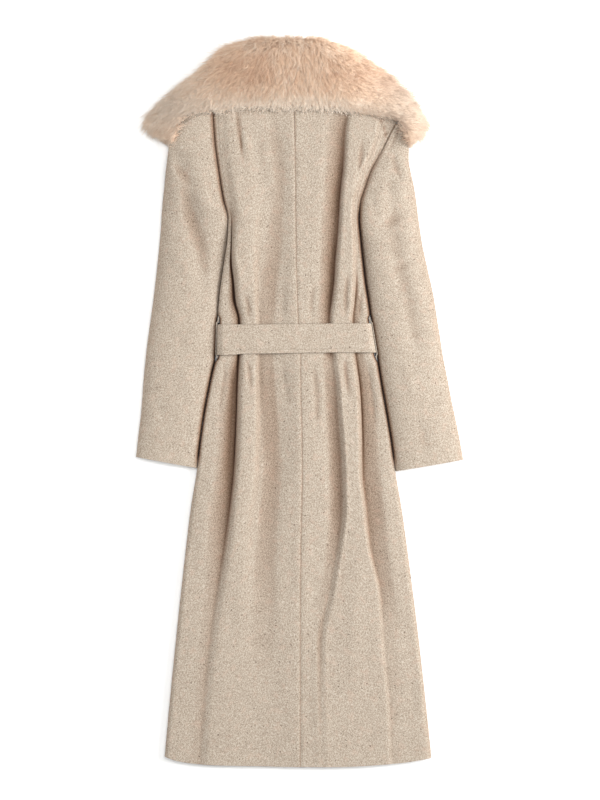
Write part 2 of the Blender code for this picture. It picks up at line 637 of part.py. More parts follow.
def add_loft(name, rings, material, collection):
    """A closed body through rings with the same number of points."""
    bm = bmesh.new()
    loops = [[bm.verts.new([size * MM for size in point]) for point in ring] for ring in rings]
    for loop, following in zip(loops, loops[1:]):
        for i in range(len(loop)):
            j = (i + 1) % len(loop)
            bm.faces.new((loop[i], loop[j], following[j], following[i]))
    bm.faces.new(loops[0][::-1])
    bm.faces.new(loops[-1])
    bmesh.ops.recalc_face_normals(bm, faces=bm.faces)
    bmesh.ops.triangulate(bm, faces=[face for face in bm.faces if len(face.verts) > 4])
    mesh = bpy.data.meshes.new(name)
    bm.to_mesh(mesh)
    bm.free()
    return add_object(name, mesh, material, collection)


def main():
    for old in list(bpy.data.objects):
        bpy.data.objects.remove(old)
    coat = bpy.data.collections.new("wool_coat")
    bpy.context.scene.collection.children.link(coat)

    back_wool = cloth_material("wool_back", (0.62, 0.54, 0.45), 0.95)
    front_wool = cloth_material("wool_front", (0.60, 0.52, 0.43), 0.95)
    sleeve_wool = cloth_material("wool_sleeve", (0.63, 0.55, 0.46), 0.95)
    belt_wool = cloth_material("wool_belt", (0.66, 0.58, 0.48), 0.95)
    fur = cloth_material("fur", (0.69, 0.53, 0.42), 1.0)

    for is_left, word in ((True, "left"), (False, "right")):
        add_sheet(f"back_{word}", back_panel(is_left), CLOTH, back_wool, coat)
        add_sheet(f"front_{word}", front_panel(is_left), CLOTH, front_wool, coat)
        add_sheet(f"sleeve_{word}_upper", upper_sleeve(is_left), CLOTH, sleeve_wool, coat)
        add_sheet(f"sleeve_{word}_under", under_sleeve(is_left), CLOTH, sleeve_wool, coat)
        add_sheet(f"belt_loop_{word}", belt_loop(is_left), LOOP_THICKNESS, belt_wool, coat)
        add_loft(f"collar_lapel_{word}", lapel_rings(is_left), fur, coat)
    add_sheet("belt", belt_band(), BELT_THICKNESS, belt_wool, coat)
    add_loft("collar_fall", collar_rings(), fur, coat)


main()
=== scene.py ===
"""A long belted coat in flecked tweed with a broad fur collar, laid face down with its back up.

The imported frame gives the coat's place and size. Each cloth piece is a thin sheet on its solid's own
form, with finer folds, and the collar is a backing with fur growing out of it.
Tables and forms are in millimetres: x runs across the coat, y from the hem up to the collar, z up from
the surface that it lies on. Left and right are the wearer's.
"""

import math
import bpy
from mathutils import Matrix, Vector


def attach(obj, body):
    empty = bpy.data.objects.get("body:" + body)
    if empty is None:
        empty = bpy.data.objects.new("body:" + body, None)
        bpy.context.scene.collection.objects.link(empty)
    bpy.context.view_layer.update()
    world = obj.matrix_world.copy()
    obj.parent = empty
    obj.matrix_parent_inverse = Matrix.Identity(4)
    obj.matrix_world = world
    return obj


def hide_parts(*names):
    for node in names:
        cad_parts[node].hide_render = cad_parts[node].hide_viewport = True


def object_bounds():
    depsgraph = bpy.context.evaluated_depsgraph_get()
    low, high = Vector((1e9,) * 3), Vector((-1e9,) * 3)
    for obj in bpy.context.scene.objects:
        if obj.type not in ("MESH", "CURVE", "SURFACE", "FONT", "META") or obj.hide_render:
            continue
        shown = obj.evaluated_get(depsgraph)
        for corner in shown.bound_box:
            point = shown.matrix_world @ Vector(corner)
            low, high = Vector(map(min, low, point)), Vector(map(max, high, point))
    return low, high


bl_info = {
    "name": "Belted tweed coat",
    "version": (1, 0, 0),
    "blender": (4, 5, 0),
    "location": "View3D > Sidebar > Coat",
    "description": "Dresses the coat's frame in tweed and fur, and sets up its studio",
    "category": "Object",
}

from collections import namedtuple

import bpy
import numpy as np
from bpy.props import FloatProperty, FloatVectorProperty, IntProperty, PointerProperty
from mathutils.kdtree import KDTree

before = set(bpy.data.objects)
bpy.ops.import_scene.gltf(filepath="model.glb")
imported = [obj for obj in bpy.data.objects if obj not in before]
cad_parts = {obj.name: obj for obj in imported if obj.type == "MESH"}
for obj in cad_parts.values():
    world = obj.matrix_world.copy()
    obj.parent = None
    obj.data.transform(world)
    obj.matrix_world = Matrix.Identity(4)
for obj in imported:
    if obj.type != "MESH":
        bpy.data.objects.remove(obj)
CAD_LOW, CAD_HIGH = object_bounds()

MM = 0.001
# Thicknesses, and the narrow seam that is left between pieces.
CLOTH = 2.4
BELT_THICKNESS = 3.0
LOOP_THICKNESS = 1.5
SEAM = 0.3
HALF = CLOTH / 2

# The rounded edge where an upper and a lower layer meet.
EDGE_HEIGHT = 7.2
EDGE_WIDTH = 8.0
EDGE_SEAM = 0.9
UPPER_EDGE = EDGE_HEIGHT + EDGE_SEAM / 2
LOWER_EDGE = EDGE_HEIGHT - EDGE_SEAM / 2 - HALF
SHOULDER_EDGE = UPPER_EDGE - CLOTH - SEAM - HALF
SHOULDER_REACH = 21.0
# The step of the left front's edge over the right front, and how far it stays clear of both edges.
WRAP_STEP = CLOTH + SEAM
WRAP_RUN = 13.0
WRAP_CLEAR_UNDER = 16.0
WRAP_CLEAR_INNER = 24.0
LAPEL_LIFT = 10.3
WAIST_LIFT = 6.9

BELT_LOW_Y = 82.0
BELT_HIGH_Y = 133.0
BELT_TOP_Z = 25.1
BELT_FRONT_END = 75.0
BELT_CLEARANCE = 0.9
# Where the belt's inner end starts and stops going down beside its outer end.
BELT_STEP_START = 8.0
BELT_STEP_END = 22.0
BELT_ROWS = 35
BELT_FRONT_STEPS = 30
BELT_DOWN_STEPS = 6
BELT_TURN_STEPS = 16
BELT_TOP_STEPS = 60
BELT_LAST_STEPS = 40
# Its stitch line, its slight waves, its bow, and how its left end droops.
BELT_STITCH_SET = 5.5
BELT_STITCH_WIDTH = 1.6
BELT_STITCH_DEPTH = 1.3
BELT_WAVE_HEIGHT = 0.35
BELT_WAVES = (17.0, 41.0, 30.0)
BELT_BOW = 1.0
BELT_BOW_RUN = 60.0
BELT_DROOP = 3.2
BELT_DROOP_RUN = 26.0
BELT_BEVEL = 0.9
LOOP_BEVEL = 0.4
# Edges sharper than the first angle are bevelled, those below the second are smooth; points closer than
# the distance, in metres, are merged.
BEVEL_ANGLE = math.radians(60)
SMOOTH_ANGLE = math.radians(50)
MERGE_DISTANCE = 0.00002
LOOP_WIDTH = 8.0
LOOP_ABOVE = 12.0
LOOP_BELOW = 9.0
LOOP_STEPS = 40
LOOP_ACROSS = 7

COLLAR_UNDERSIDE = 27.8
COLLAR_RIM = 9.0
COLLAR_LIP = 3.0
FLOOR_GAP = 0.3

ARMPIT_Y = 315.0
ARMPIT_RUN = 25.0
UNDER_COLLAR_Y = 505.0
LEFT_TOP_Y = 528.0
RIGHT_TOP_Y = 491.0
NECK_TOP_Y = 584.0
SHOULDER_FADE_Y = 402.0
SHOULDER_LEVEL = 10.0
HEM_FADE_Y = -530.0
LOWEST_ROW = -643.0
LEFT_CUFF_Y = -119.0
RIGHT_CUFF_Y = -125.0
# Where the under sleeve comes down on the surface: at its outer edge, and how much lower at its inner one.
SLEEVE_DOWN_Y = 335.0
SLEEVE_DOWN_SLANT = 73.0
SLEEVE_DOWN_RUN = 70.0

# Where a form changes on the way up the coat or down it: the height that it starts at, and its run.
Change = namedtuple("Change", "y run")
CHEST_LIFTED = Change(140.0, 70.0)
WAIST_LIFTED = Change(15.0, 55.0)
BELT_GAP_FROM = Change(67.0, 7.0)
BELT_GAP_TO = Change(151.0, 7.0)
HEM_CRISPER = Change(-430.0, 300.0)
CHEST_SOFTER = Change(290.0, 60.0)
CHEST_VALLEY = Change(265.0, 45.0)
BELT_CRISPER = Change(BELT_LOW_Y, 60.0)
SKIRT = Change(BELT_LOW_Y, 20.0)
SKIRT_FLOOR = Change(BELT_LOW_Y, 40.0)
SKIRT_FLOOR_END = Change(-190.0, 90.0)


class Table:
    """Rows of sizes under named columns; the first column is the key that the others are read by."""

    def __init__(self, columns, rows):
        self.names = columns.split()
        self.rows = np.array(sorted(rows), dtype=float)

    def at(self, column, key):
        """Smooth value of a column, level beyond the first and the last row."""
        return smooth_curve(self.rows[:, 0], self.rows[:, self.names.index(column)], key)


def smooth_curve(keys, values, at):
    """A cubic through the rows that never swings past them."""
    at = np.clip(np.asarray(at, dtype=float), keys[0], keys[-1])
    run = np.diff(keys)
    slope = np.diff(values) / run
    bend = np.zeros(len(keys))
    same_way = slope[:-1] * slope[1:] > 0
    mean = 2 * slope[:-1] * slope[1:] / np.where(same_way, slope[:-1] + slope[1:], 1.0)
    bend[1:-1] = np.where(same_way, mean, 0.0)
    bend[0] = slope[0]
    bend[-1] = slope[-1]
    i = np.clip(np.searchsorted(keys, at, side="right") - 1, 0, len(run) - 1)
    t = (at - keys[i]) / run[i]
    start = values[i] * (1 + 2 * t) * (1 - t) ** 2 + bend[i] * run[i] * t * (1 - t) ** 2
    end = values[i + 1] * t ** 2 * (3 - 2 * t) - bend[i + 1] * run[i] * t ** 2 * (1 - t)
    return start + end


# Where body and sleeve lie side by side: the line between them, and how far apart their cloth lies.
LEFT_SIDE = Table("y line gap", [
    (528, -152, 2.7), (504, -152, 2.7), (453, -149, 2.7), (420, -145, 2.7), (385, -140, 2.7),
    (350, -134, 2.7), (315, -126, 2.7), (285, -127, 4.5), (242, -133, 5.0), (208, -138, 5.0),
    (175, -142, 6.0), (140, -144.5, 9.0), (107, -146, 10.5), (75, -147.7, 12.0), (48, -154, 8.0),
    (24, -159.5, 7.0), (-21, -168, 6.5), (-70, -175, 5.5), (-125, -181.5, 5.0), (-190, -192, 5.0),
    (-260, -200.5, 5.0), (-340, -209.5, 5.0), (-430, -219, 5.0), (-530, -229, 5.0), (-645, -238, 5.0),
])
RIGHT_SIDE = Table("y line gap", [
    (491, 173, 2.7), (471, 161, 2.7), (453, 152, 2.7), (429, 139, 2.7), (402, 124.5, 2.7),
    (374, 114.5, 2.7), (343, 105.5, 2.7), (315, 103.2, 2.7), (285, 105.5, 4.5), (242, 110, 5.0),
    (208, 114, 5.0), (175, 119.2, 5.5), (140, 124.5, 10.0), (107, 130, 10.5), (75, 135, 10.0),
    (48, 139.5, 7.5), (24, 144, 7.0), (-21, 152, 6.0), (-70, 160, 5.0), (-125, 167.5, 5.0),
    (-190, 178.8, 5.0), (-260, 188.5, 5.0), (-340, 199, 5.0), (-430, 210, 5.0), (-530, 221, 5.0),
    (-645, 231.5, 5.0),
])

# Shoulder seams and back neck, and the hem, as seen from above.
SHOULDER = Table("x y", [
    (-152, 528), (-113, 553), (-74, 578), (-60, 584), (-30, 577), (0, 575), (28, 577), (56, 584),
    (70, 578), (122, 535), (173, 491),
])
HEM = Table("x y", [
    (-236, -626), (-215, -633), (-171, -639), (-73, -642), (0, -643), (58, -643), (171, -637),
    (230, -628),
])

# Across the back: where each fold line runs.
FOLD_PLACES = Table("y valley_left valley_centre centre_seam valley_right crease_right", [
    (505, -141, -51, -11, 85, 142), (472, -139, -49, -10, 79, 140), (429, -136, -42, -9, 77, 125),
    (402, -132, -40, -8.5, 75, 113), (374, -128, -38, -8, 72, 105), (343, -123, -39, -8, 69.5, 97),
    (315, -118, -40, -7.5, 68, 96), (285, -119, -41, -7, 66, 98), (242, -119.5, -44, -6.5, 62, 98.5),
    (208, -116, -48, -5.5, 60, 98), (175, -113.5, -51, -4.5, 56, 96), (140, -106, -55, -3, 52, 93),
    (107, -105.5, -56, -1, 52.5, 94), (75, -107, -55, 1, 54, 98), (24, -109.5, -53, 1.5, 60, 105),
    (-21, -111, -49, 2.5, 63, 108), (-70, -113, -47, 3.5, 67, 109.5), (-125, -116, -47, 4, 70, 110),
    (-190, -123, -56, 3, 71, 117), (-260, -133, -59, 1.5, 63, 125), (-340, -147, -58, 1, 50, 143),
    (-430, -160, -65, 1, 34, 149), (-530, -170, -68, 1, 35, 158), (-645, -177, -68, 1, 37, 163),
])
# Height of the back's cloth above the fronts' underside, on the same lines and on the ridges between.
FOLD_HEIGHTS = Table("y side_left valley_left ridge_left valley_centre centre_seam valley_right "
                     "ridge_right crease_right side_right", [
    (505, 11, 12.5, 14.5, 12, 14.5, 10, 15, 12.5, 11.5),
    (472, 12, 13.5, 16.5, 12, 15.5, 8.5, 17, 14, 12),
    (402, 12, 13.5, 18.5, 11.5, 16, 7.2, 19.5, 14.5, 12),
    (343, 12, 13.5, 19.5, 11, 16, 6.8, 20.5, 14, 12),
    (285, 11.8, 11.8, 20.5, 10.5, 16, 6.8, 20.5, 14, 11.8),
    (208, 11.8, 10, 20.5, 9.5, 16, 6.8, 20, 12.5, 11.8),
    (175, 12, 7.6, 19, 8.5, 15.5, 6.8, 18.5, 10.5, 12),
    (140, 12, 7, 15, 8.2, 14, 6.8, 15, 9.5, 12),
    (75, 12, 7, 15, 8.2, 14, 6.8, 15, 9, 12),
    (24, 13, 6.8, 19.5, 8, 15.5, 6.8, 19, 9, 12.5),
    (-70, 14, 6.8, 21.5, 8, 16.5, 6.8, 21.5, 9.5, 13),
    (-190, 14.5, 7.4, 21.5, 9.2, 17, 7.2, 21.5, 10.5, 13.5),
    (-260, 14.5, 9.8, 19.5, 10.8, 16.5, 8.8, 19.5, 12, 14.5),
    (-430, 14.5, 13, 16.8, 12.6, 16, 10.8, 17.2, 14, 15),
    (-645, 14, 13, 16, 13.2, 15.5, 12.2, 16.2, 14, 14.8),
])
# The lines across the back from left to right, and how the cloth runs from each to the next.
LINES = ("side_left", "valley_left", "ridge_left", "valley_centre", "centre_seam", "valley_right",
         "ridge_right", "ridge_right", "crease_right", "side_right")
RUNS = ("late_below", "crisp", "edged", "soft", "late", "crisp_above", "soft", "soft", "soft")
# How steep a crisp run is, and how much of that it loses under the collar.
CRISP_POWER = 3.4
CRISP_CHEST_LOSS = 0.8
CRISP_ABOVE_POWER = 4.0
# The share of a clear step's run that lies before it, and that it takes, and where on the coat it is.
EDGED_START = 0.33
EDGED_SHARE = 0.20
EDGED_Y = 70.0
EDGED_REACH = 180.0
# How late the cloth rises out of a valley, how much later on the skirt, and the valley's flat share there.
LATE_POWER = 2.7
LATE_SKIRT_POWER = 0.9
SIDE_POWER = 1.2
SIDE_SKIRT_POWER = 0.8
FLOOR_SHARE = 0.20
# The share of the way to the first fold that the rounded edge may take.
EDGE_SHARE = 0.55
RIDGE_LEFT_SET = 17.0
RIDGE_RIGHT_SET = 13.0
RIDGE_END_SET = 9.0
RIDGE_GAP = 0.5
CENTRE_LINE = LINES.index("centre_seam")
# Mesh steps across the back and the fronts from the side inwards, round a turned edge, and down the coat.
LEFT_RUN_STEPS = (16, 14, 18, 24)
RIGHT_RUN_STEPS = (16, 8, 18, 14, 26)
LEFT_FRONT_STEPS = (14, 6, 8)
RIGHT_FRONT_STEPS = (26,)
UNDER_SLEEVE_STEPS = (12,)
TURN_STEPS = 9
ROW_STEP = 6.0

# How much deeper the fold lines are pressed in than the soft forms beside them.
GROOVES = Table("y valley_left crease_right", [
    (505, 0.0, 0.0), (365, 0.0, 0.1), (330, 2.0, 0.3), (285, 3.2, 0.9), (208, 3.6, 1.2), (140, 2.6, 1.4),
    (75, 2.6, 1.6), (-60, 2.4, 1.6), (-125, 1.6, 1.2), (-260, 0.7, 0.4), (-430, 0.5, 0.0), (-645, 0.3, 0.0),
])
GROOVE_WIDTH = 3.2
# The right valley is rounder and shallower on the skirt.
SKIRT_FILL = 4.5
SKIRT_FILL_WIDTH = 9.0
# How far the seam between back and sleeve is closed up, and how strongly painted shade darkens the cloth's
# sides that face it or the gap below it.
ARMHOLE_CLOSED = Table("y left right", [
    (528, 0.0, 0.95), (455, 0.0, 0.95), (430, 0.0, 0.75), (390, 0.0, 0.5), (345, 0.0, 0.35),
    (318, 0.0, 0.0),
])
SIDE_SHADE = Table("y left right", [
    (528, 0.8, 0.1), (455, 0.8, 0.2), (420, 0.8, 0.5), (345, 0.85, 0.8), (315, 0.4, 1.0),
    (290, 0.15, 1.0), (160, 0.15, 1.0), (140, 1.0, 1.0), (-95, 1.0, 1.0), (-128, 0.0, 0.0),
])
# Along that closed seam: its rise, where across the sleeve it starts, and how much lower the crown is.
CLOSED_SEAM_RISE = 4.3
CLOSED_SEAM_START = 0.4
CLOSED_CROWN_LOSS = 0.6
# The gap is open at the belt only, and on the sleeve's side just this share of it.
SLEEVE_BELT_SHARE = 0.2
# The painted shade of folds: how far a gap's sides get painted shade, how many columns away a wall shelters
# a point, how much shelter an open place has, the painted shade's strength and curve, and what a second
# wall adds.
BODY_SHADE_REACH = 5.5
SLEEVE_SHADE_REACH = 8.0
SHELTER_REACH = 14
OPEN_SHELTER = 0.05
PAINTED_SHADE_STRENGTH = 1.45
PAINTED_SHADE_POWER = 0.75
BOTH_WALLS = 0.65

# Sleeve stations: where the inner end and the outer end of each lie, and the height of the crown.
LEFT_SLEEVE = Table("inner_y outer_y crown", [
    (528, 488, 8), (494, 466, 8), (455, 441, 9), (416, 410, 14), (368, 374, 16), (329, 340, 17),
    (287, 294, 18), (238, 242, 19), (189, 189, 19), (136, 136, 18), (107, 108, 18), (80, 84, 17.5),
    (24, 32, 16), (-32, -21, 14.5), (-80, -63, 13.5), (-119, -100, 13),
])
RIGHT_SLEEVE = Table("inner_y outer_y crown", [
    (491, 490, 8), (471, 469, 8.5), (453, 447, 10), (429, 422, 13), (402, 399, 16), (374, 374, 17),
    (343, 343, 18), (312, 312, 18.5), (270, 273, 19), (224, 231, 19), (175, 186, 19), (131, 136, 18),
    (100, 105, 18), (77, 84, 17.5), (28, 38, 16), (-21, -9, 15), (-70, -56, 14), (-125, -105, 13),
])
LEFT_SLEEVE_OUTER = Table("y x", [
    (488, -217), (466, -226), (441, -230), (410, -234), (374, -238), (340, -242), (294, -245),
    (242, -250), (189, -256), (136, -263), (108, -267), (84, -270), (32, -275), (-21, -279),
    (-63, -284), (-100, -288),
])
RIGHT_SLEEVE_OUTER = Table("y x", [
    (490, 197), (470, 195), (447, 191), (422, 190.5), (399, 194), (374, 200), (343, 205), (312, 209),
    (273, 215), (231, 224), (186, 234), (136, 242), (105, 247), (84, 250), (38, 259), (-9, 268),
    (-56, 278), (-105, 287),
])
SLEEVE_STEPS = 46
ARCH_POWER = 2.4
# The long soft trough down each sleeve.
LEFT_TROUGH = Table("y x depth", [
    (450, -222, 0), (434, -217, 4), (368, -196, 6), (306, -186, 6), (259, -175, 5.5), (201, -170, 4),
    (158, -175, 1.5), (120, -180, 0),
])
RIGHT_TROUGH = Table("y x depth", [
    (420, 160, 0), (380, 158, 3), (320, 160, 4), (240, 172, 3), (180, 186, 3.5), (120, 198, 3),
    (60, 205, 0),
])
TROUGH_HALF_WIDTH = 15.0
# The share of the crown's height that the trough may take.
TROUGH_LIMIT = 0.6

# The fur collar from above, and how high it stands.
COLLAR_LOW = Table("x y", [
    (-275, 482), (-271, 471), (-262, 460), (-247, 450), (-233, 443), (-228, 455), (-224, 466),
    (-219, 478), (-210, 489), (-192, 496), (-152, 501), (-105, 504), (0, 504), (79, 501), (131, 494),
    (166, 489), (178, 486), (185, 476), (190, 459), (197, 443), (208, 450), (217, 462), (223, 481),
])
COLLAR_HIGH = Table("x y", [
    (-275, 490), (-270, 506), (-262, 515), (-240, 536), (-214, 556), (-184, 578), (-159, 600),
    (-138, 619), (-122, 626), (-84, 637), (-63, 640), (-18, 641), (26, 640), (52, 634), (70, 626),
    (91, 616), (112, 598), (142, 577), (159, 560), (180, 539), (196, 527), (208, 516), (217, 505),
    (223, 489),
])
COLLAR_CROWN = Table("x z", [
    (-275, 12), (-262, 26), (-240, 36), (-200, 43), (-120, 45), (0, 45), (110, 46), (170, 44),
    (200, 38), (214, 26), (223, 12),
])
COLLAR_TURN = Table("x y", [
    (-231.5, 445), (-226, 468), (-217, 491), (-152, 531), (-74, 581), (-60, 587), (56, 587), (70, 581),
    (122, 542), (173, 500), (200, 497),
])
COLLAR_LOW_ROUND = 14.0
COLLAR_HIGH_ROUND = 34.0
# The backing is set in from the fur's tips: the whole way where the collar is this broad, less at its low
# edge, by no more than this share of its height, and as much across as it is for this half width.
COLLAR_BROAD = 60.0
COLLAR_LOW_INSET = 0.8
COLLAR_CROWN_INSET = 0.4
COLLAR_HALF_WIDTH = 260.0
# Sections of the backing from left to right, closer together where the collar leaves the cloth.
COLLAR_SECTIONS = np.concatenate([
    np.linspace(-275, -236, 9), [-233.5, -231.8], np.linspace(-228, 197, 64), [199.5, 201.2],
    np.linspace(204, 223, 6),
])
COLLAR_STEPS = 25
COLLAR_UNDER_STEPS = 6
# Where the collar turns from the cloth down to the surface, and the stations past that, as shares.
COLLAR_TURN_MARGIN = (4.0, 3.0)
COLLAR_UNDER_START = 0.04
COLLAR_DOWN_SHARES = (0.12, 0.5, 0.85)

# The collar's lapels, under the chest.
NECK_LINE = Table("y left right", [(584, -60, 56), (150, 80, -80), (75, 86, -86), (-645, 100, -100)])
LEFT_LAPEL = Table("y outer", [
    (574, -62), (560, -96), (528, -146), (500, -190), (487, -212), (470, -221), (445, -225),
    (400, -186), (338, -128), (260, -84), (215, -68),
])
RIGHT_LAPEL = Table("y outer", [
    (574, 60), (560, 84), (528, 122), (500, 154), (487, 168), (470, 182), (445, 184), (400, 145),
    (338, 102), (260, 52), (200, 0), (152, -60),
])
LAPEL_ROUND = 4.0
LAPEL_CLEARANCE = 0.6
LAPEL_GAP = 1.0
LAPEL_ROWS = 70
LAPEL_STEPS = 16

# Small creases, listed one by one: both ends, half the width, and the height, below 0 for a trough.
Crease = namedtuple("Crease", "x0 y0 x1 y1 half_width height")
# How far a crease wanders for its width, how often, and the share of its length that it fades over.
CREASE_WANDER = 0.35
CREASE_WAVES = 5
CREASE_FADE = 0.35
BACK_CREASES = [
    Crease(-110, 520, -101, 415, 2.8, -2.8),
    Crease(136, 508, 153, 450, 2.2, -2.2),
    Crease(-96, 500, -90, 380, 7, 1.2),
    Crease(-60, 500, -44, 330, 9, 1.4),
    Crease(30, 500, 38, 300, 14, 1.2),
    Crease(112, 470, 92, 340, 5, -2.0),
    Crease(-132, 300, -96, 190, 6, 1.6),
    Crease(-95, 190, -88, 138, 4, -1.6),
    Crease(-30, 200, -27, 136, 5, -1.3),
    Crease(20, 215, 22, 136, 6, -1.5),
    Crease(84, 230, 79, 136, 4, -1.6),
    Crease(108, 210, 106, 138, 4, -1.4),
    Crease(-132, 78, -140, -30, 5, -1.6),
    Crease(-90, 78, -88, 10, 4, -1.3),
    Crease(-28, 78, -24, -20, 6, -1.4),
    Crease(24, 78, 30, -60, 6, -1.8),
    Crease(78, 78, 86, 0, 4, -1.6),
    Crease(118, 78, 132, -60, 5, -2.0),
    Crease(-150, -60, -176, -330, 13, 1.6),
    Crease(-92, -180, -104, -520, 15, 1.4),
    Crease(-30, -100, -32, -420, 12, 1.3),
    Crease(32, -150, 24, -460, 13, -1.2),
    Crease(96, -220, 100, -560, 14, 1.4),
    Crease(140, -60, 178, -400, 12, 1.4),
    Crease(188, -380, 200, -600, 11, -1.2),
]
LEFT_SLEEVE_CREASES = [
    Crease(-236, 420, -190, 360, 8, 1.6),
    Crease(-160, 410, -150, 330, 6, -2.0),
    Crease(-240, 330, -200, 290, 7, -1.8),
    Crease(-238, 262, -178, 214, 8, 1.6),
    Crease(-232, 190, -170, 168, 7, -1.8),
    Crease(-246, 120, -190, 92, 8, -1.6),
    Crease(-214, 70, -180, -10, 9, 1.5),
    Crease(-262, 20, -226, -50, 9, -1.4),
    Crease(-196, -20, -204, -100, 8, -1.3),
]
RIGHT_SLEEVE_CREASES = [
    Crease(160, 440, 178, 372, 6, -2.0),
    Crease(122, 370, 140, 300, 6, -1.8),
    Crease(196, 330, 150, 282, 8, 1.5),
    Crease(206, 250, 150, 222, 7, -1.8),
    Crease(222, 196, 160, 170, 8, 1.5),
    Crease(232, 130, 182, 108, 7, -1.6),
    Crease(178, 80, 206, -6, 9, 1.4),
    Crease(246, 40, 224, -40, 9, -1.4),
    Crease(206, -30, 220, -100, 8, -1.2),
]
# How high the cloth's slight waves are.
BROAD_WAVES = 0.45
FINE_WAVES = 0.25
# The seam down the middle of the back is pressed in, with a line of painted shade along it, and its
# allowance lies on the left.
SEAM_PINCH = 0.9
SEAM_PINCH_WIDTH = 2.2
SEAM_SHADE = 0.5
ALLOWANCE_HEIGHT = 0.12
ALLOWANCE_PLACE = 8.0
ALLOWANCE_WIDTH = 4.5
# The two halves of the coat. A half's inward way is 1 where it runs to the right and -1 where to the left.
Half = namedtuple("Half", "word inward side top_y cuff_y sleeve outer trough creases")
LEFT = Half("left", 1, LEFT_SIDE, LEFT_TOP_Y, LEFT_CUFF_Y, LEFT_SLEEVE, LEFT_SLEEVE_OUTER, LEFT_TROUGH,
            LEFT_SLEEVE_CREASES)
RIGHT = Half("right", -1, RIGHT_SIDE, RIGHT_TOP_Y, RIGHT_CUFF_Y, RIGHT_SLEEVE, RIGHT_SLEEVE_OUTER,
             RIGHT_TROUGH, RIGHT_SLEEVE_CREASES)
HALVES = (LEFT, RIGHT)


def ease(t):
    """Rises from 0 to 1 with level ends."""
    t = np.clip(t, 0.0, 1.0)
    return t * t * (3 - 2 * t)


def above(y, change):
    """0 below the change's height, 1 once its run above it is over."""
    return ease((y - change.y) / change.run)


def below(y, change):
    """0 above the change's height, 1 once its run below it is over."""
    return ease((change.y - y) / change.run)


def soft(t, y):
    """Rises from 0 to 1 with level ends, at every height of the coat."""
    return ease(t)


def crisp(t, y):
    """Rises from 0 to 1, steeply at first, and softens towards the hem and under the collar."""
    steep = 1 - (1 - np.clip(t, 0.0, 1.0)) ** CRISP_POWER
    share = above(y, HEM_CRISPER) * (1 - CRISP_CHEST_LOSS * above(y, CHEST_SOFTER))
    return ease(t) + (steep - ease(t)) * share


def crisp_above(t, y):
    """Rises from 0 to 1, steeply at first above the belt and softly below it."""
    steep = 1 - (1 - np.clip(t, 0.0, 1.0)) ** CRISP_ABOVE_POWER
    return ease(t) + (steep - ease(t)) * above(y, BELT_CRISPER)


def late(t, y):
    """Rises from 0 to 1, most of it near the end, and later still on the skirt."""
    return ease(np.clip(t, 0.0, 1.0) ** (LATE_POWER + LATE_SKIRT_POWER * below(y, SKIRT)))


def late_below(t, y):
    """Rises from 0 to 1: softly at the chest, late below it, and with a flat end below the belt."""
    flat_end = 1 + FLOOR_SHARE * below(y, SKIRT_FLOOR) * above(y, SKIRT_FLOOR_END)
    power = 1 + SIDE_POWER * (1 - above(y, CHEST_VALLEY))
    power = power + SIDE_SKIRT_POWER * below(y, SKIRT) * above(y, SKIRT_FLOOR_END)
    return ease(np.clip(t * flat_end, 0.0, 1.0) ** power)


def edged(t, y):
    """Rises from 0 to 1, in a clear step near the belt and softly elsewhere."""
    near_belt = np.exp(-((y - EDGED_Y) / EDGED_REACH) ** 2)
    return ease(t) + (ease((t - EDGED_START) / EDGED_SHARE) - ease(t)) * near_belt


RUN_SHAPES = {
    "soft": soft, "crisp": crisp, "crisp_above": crisp_above, "late": late, "late_below": late_below,
    "edged": edged,
}


def side_edge(side, y, outward, belt_share=1.0):
    """x of a panel's edge: the side line, moved square to itself by half the gap."""
    step = 1.0
    lean = (side.at("line", y + step) - side.at("line", y - step)) / (2 * step)
    closed_gap = CLOTH + SEAM
    kept = belt_share * (above(y, BELT_GAP_FROM) * below(y, BELT_GAP_TO))
    gap = closed_gap + (side.at("gap", y) - closed_gap) * kept
    return side.at("line", y) + outward * gap / 2 * np.sqrt(1 + lean ** 2)


def body_lift(y):
    """Height of the fronts' underside: over the lapels, over the belt, and down on the surface."""
    chest = WAIST_LIFT + (LAPEL_LIFT - WAIST_LIFT) * above(y, CHEST_LIFTED)
    return chest * above(y, WAIST_LIFTED)


def sleeve_lift(across, y):
    """Height of the under sleeve's underside; across is 0 at the outer edge and 1 at the inner one."""
    down_y = SLEEVE_DOWN_Y - SLEEVE_DOWN_SLANT * across
    return LAPEL_LIFT * ease((y - down_y) / SLEEVE_DOWN_RUN)


def armhole_open(y):
    """1 where the sleeve's layers run on into the body's, 0 where each has its own side."""
    return ease((y - ARMPIT_Y + ARMPIT_RUN) / ARMPIT_RUN)


def fold_lines(y):
    """x of every fold line across the back at each y, in the order of LINES."""
    y = np.minimum(y, UNDER_COLLAR_Y)
    left = side_edge(LEFT_SIDE, y, 1)
    right = side_edge(RIGHT_SIDE, np.minimum(y, RIGHT_TOP_Y), -1)
    valley_left = FOLD_PLACES.at("valley_left", y)
    valley_right = FOLD_PLACES.at("valley_right", y)
    crease_right = FOLD_PLACES.at("crease_right", y)
    ridge_end = np.maximum(crease_right - RIDGE_END_SET, (valley_right + crease_right) / 2)
    return np.stack([
        left + np.minimum(EDGE_WIDTH, EDGE_SHARE * (valley_left - left)),
        valley_left,
        valley_left + RIDGE_LEFT_SET,
        FOLD_PLACES.at("valley_centre", y),
        FOLD_PLACES.at("centre_seam", y),
        valley_right,
        np.minimum(valley_right + RIDGE_RIGHT_SET, ridge_end),
        ridge_end + RIDGE_GAP,
        crease_right,
        right - np.minimum(EDGE_WIDTH, EDGE_SHARE * (right - crease_right)),
    ], axis=-1)


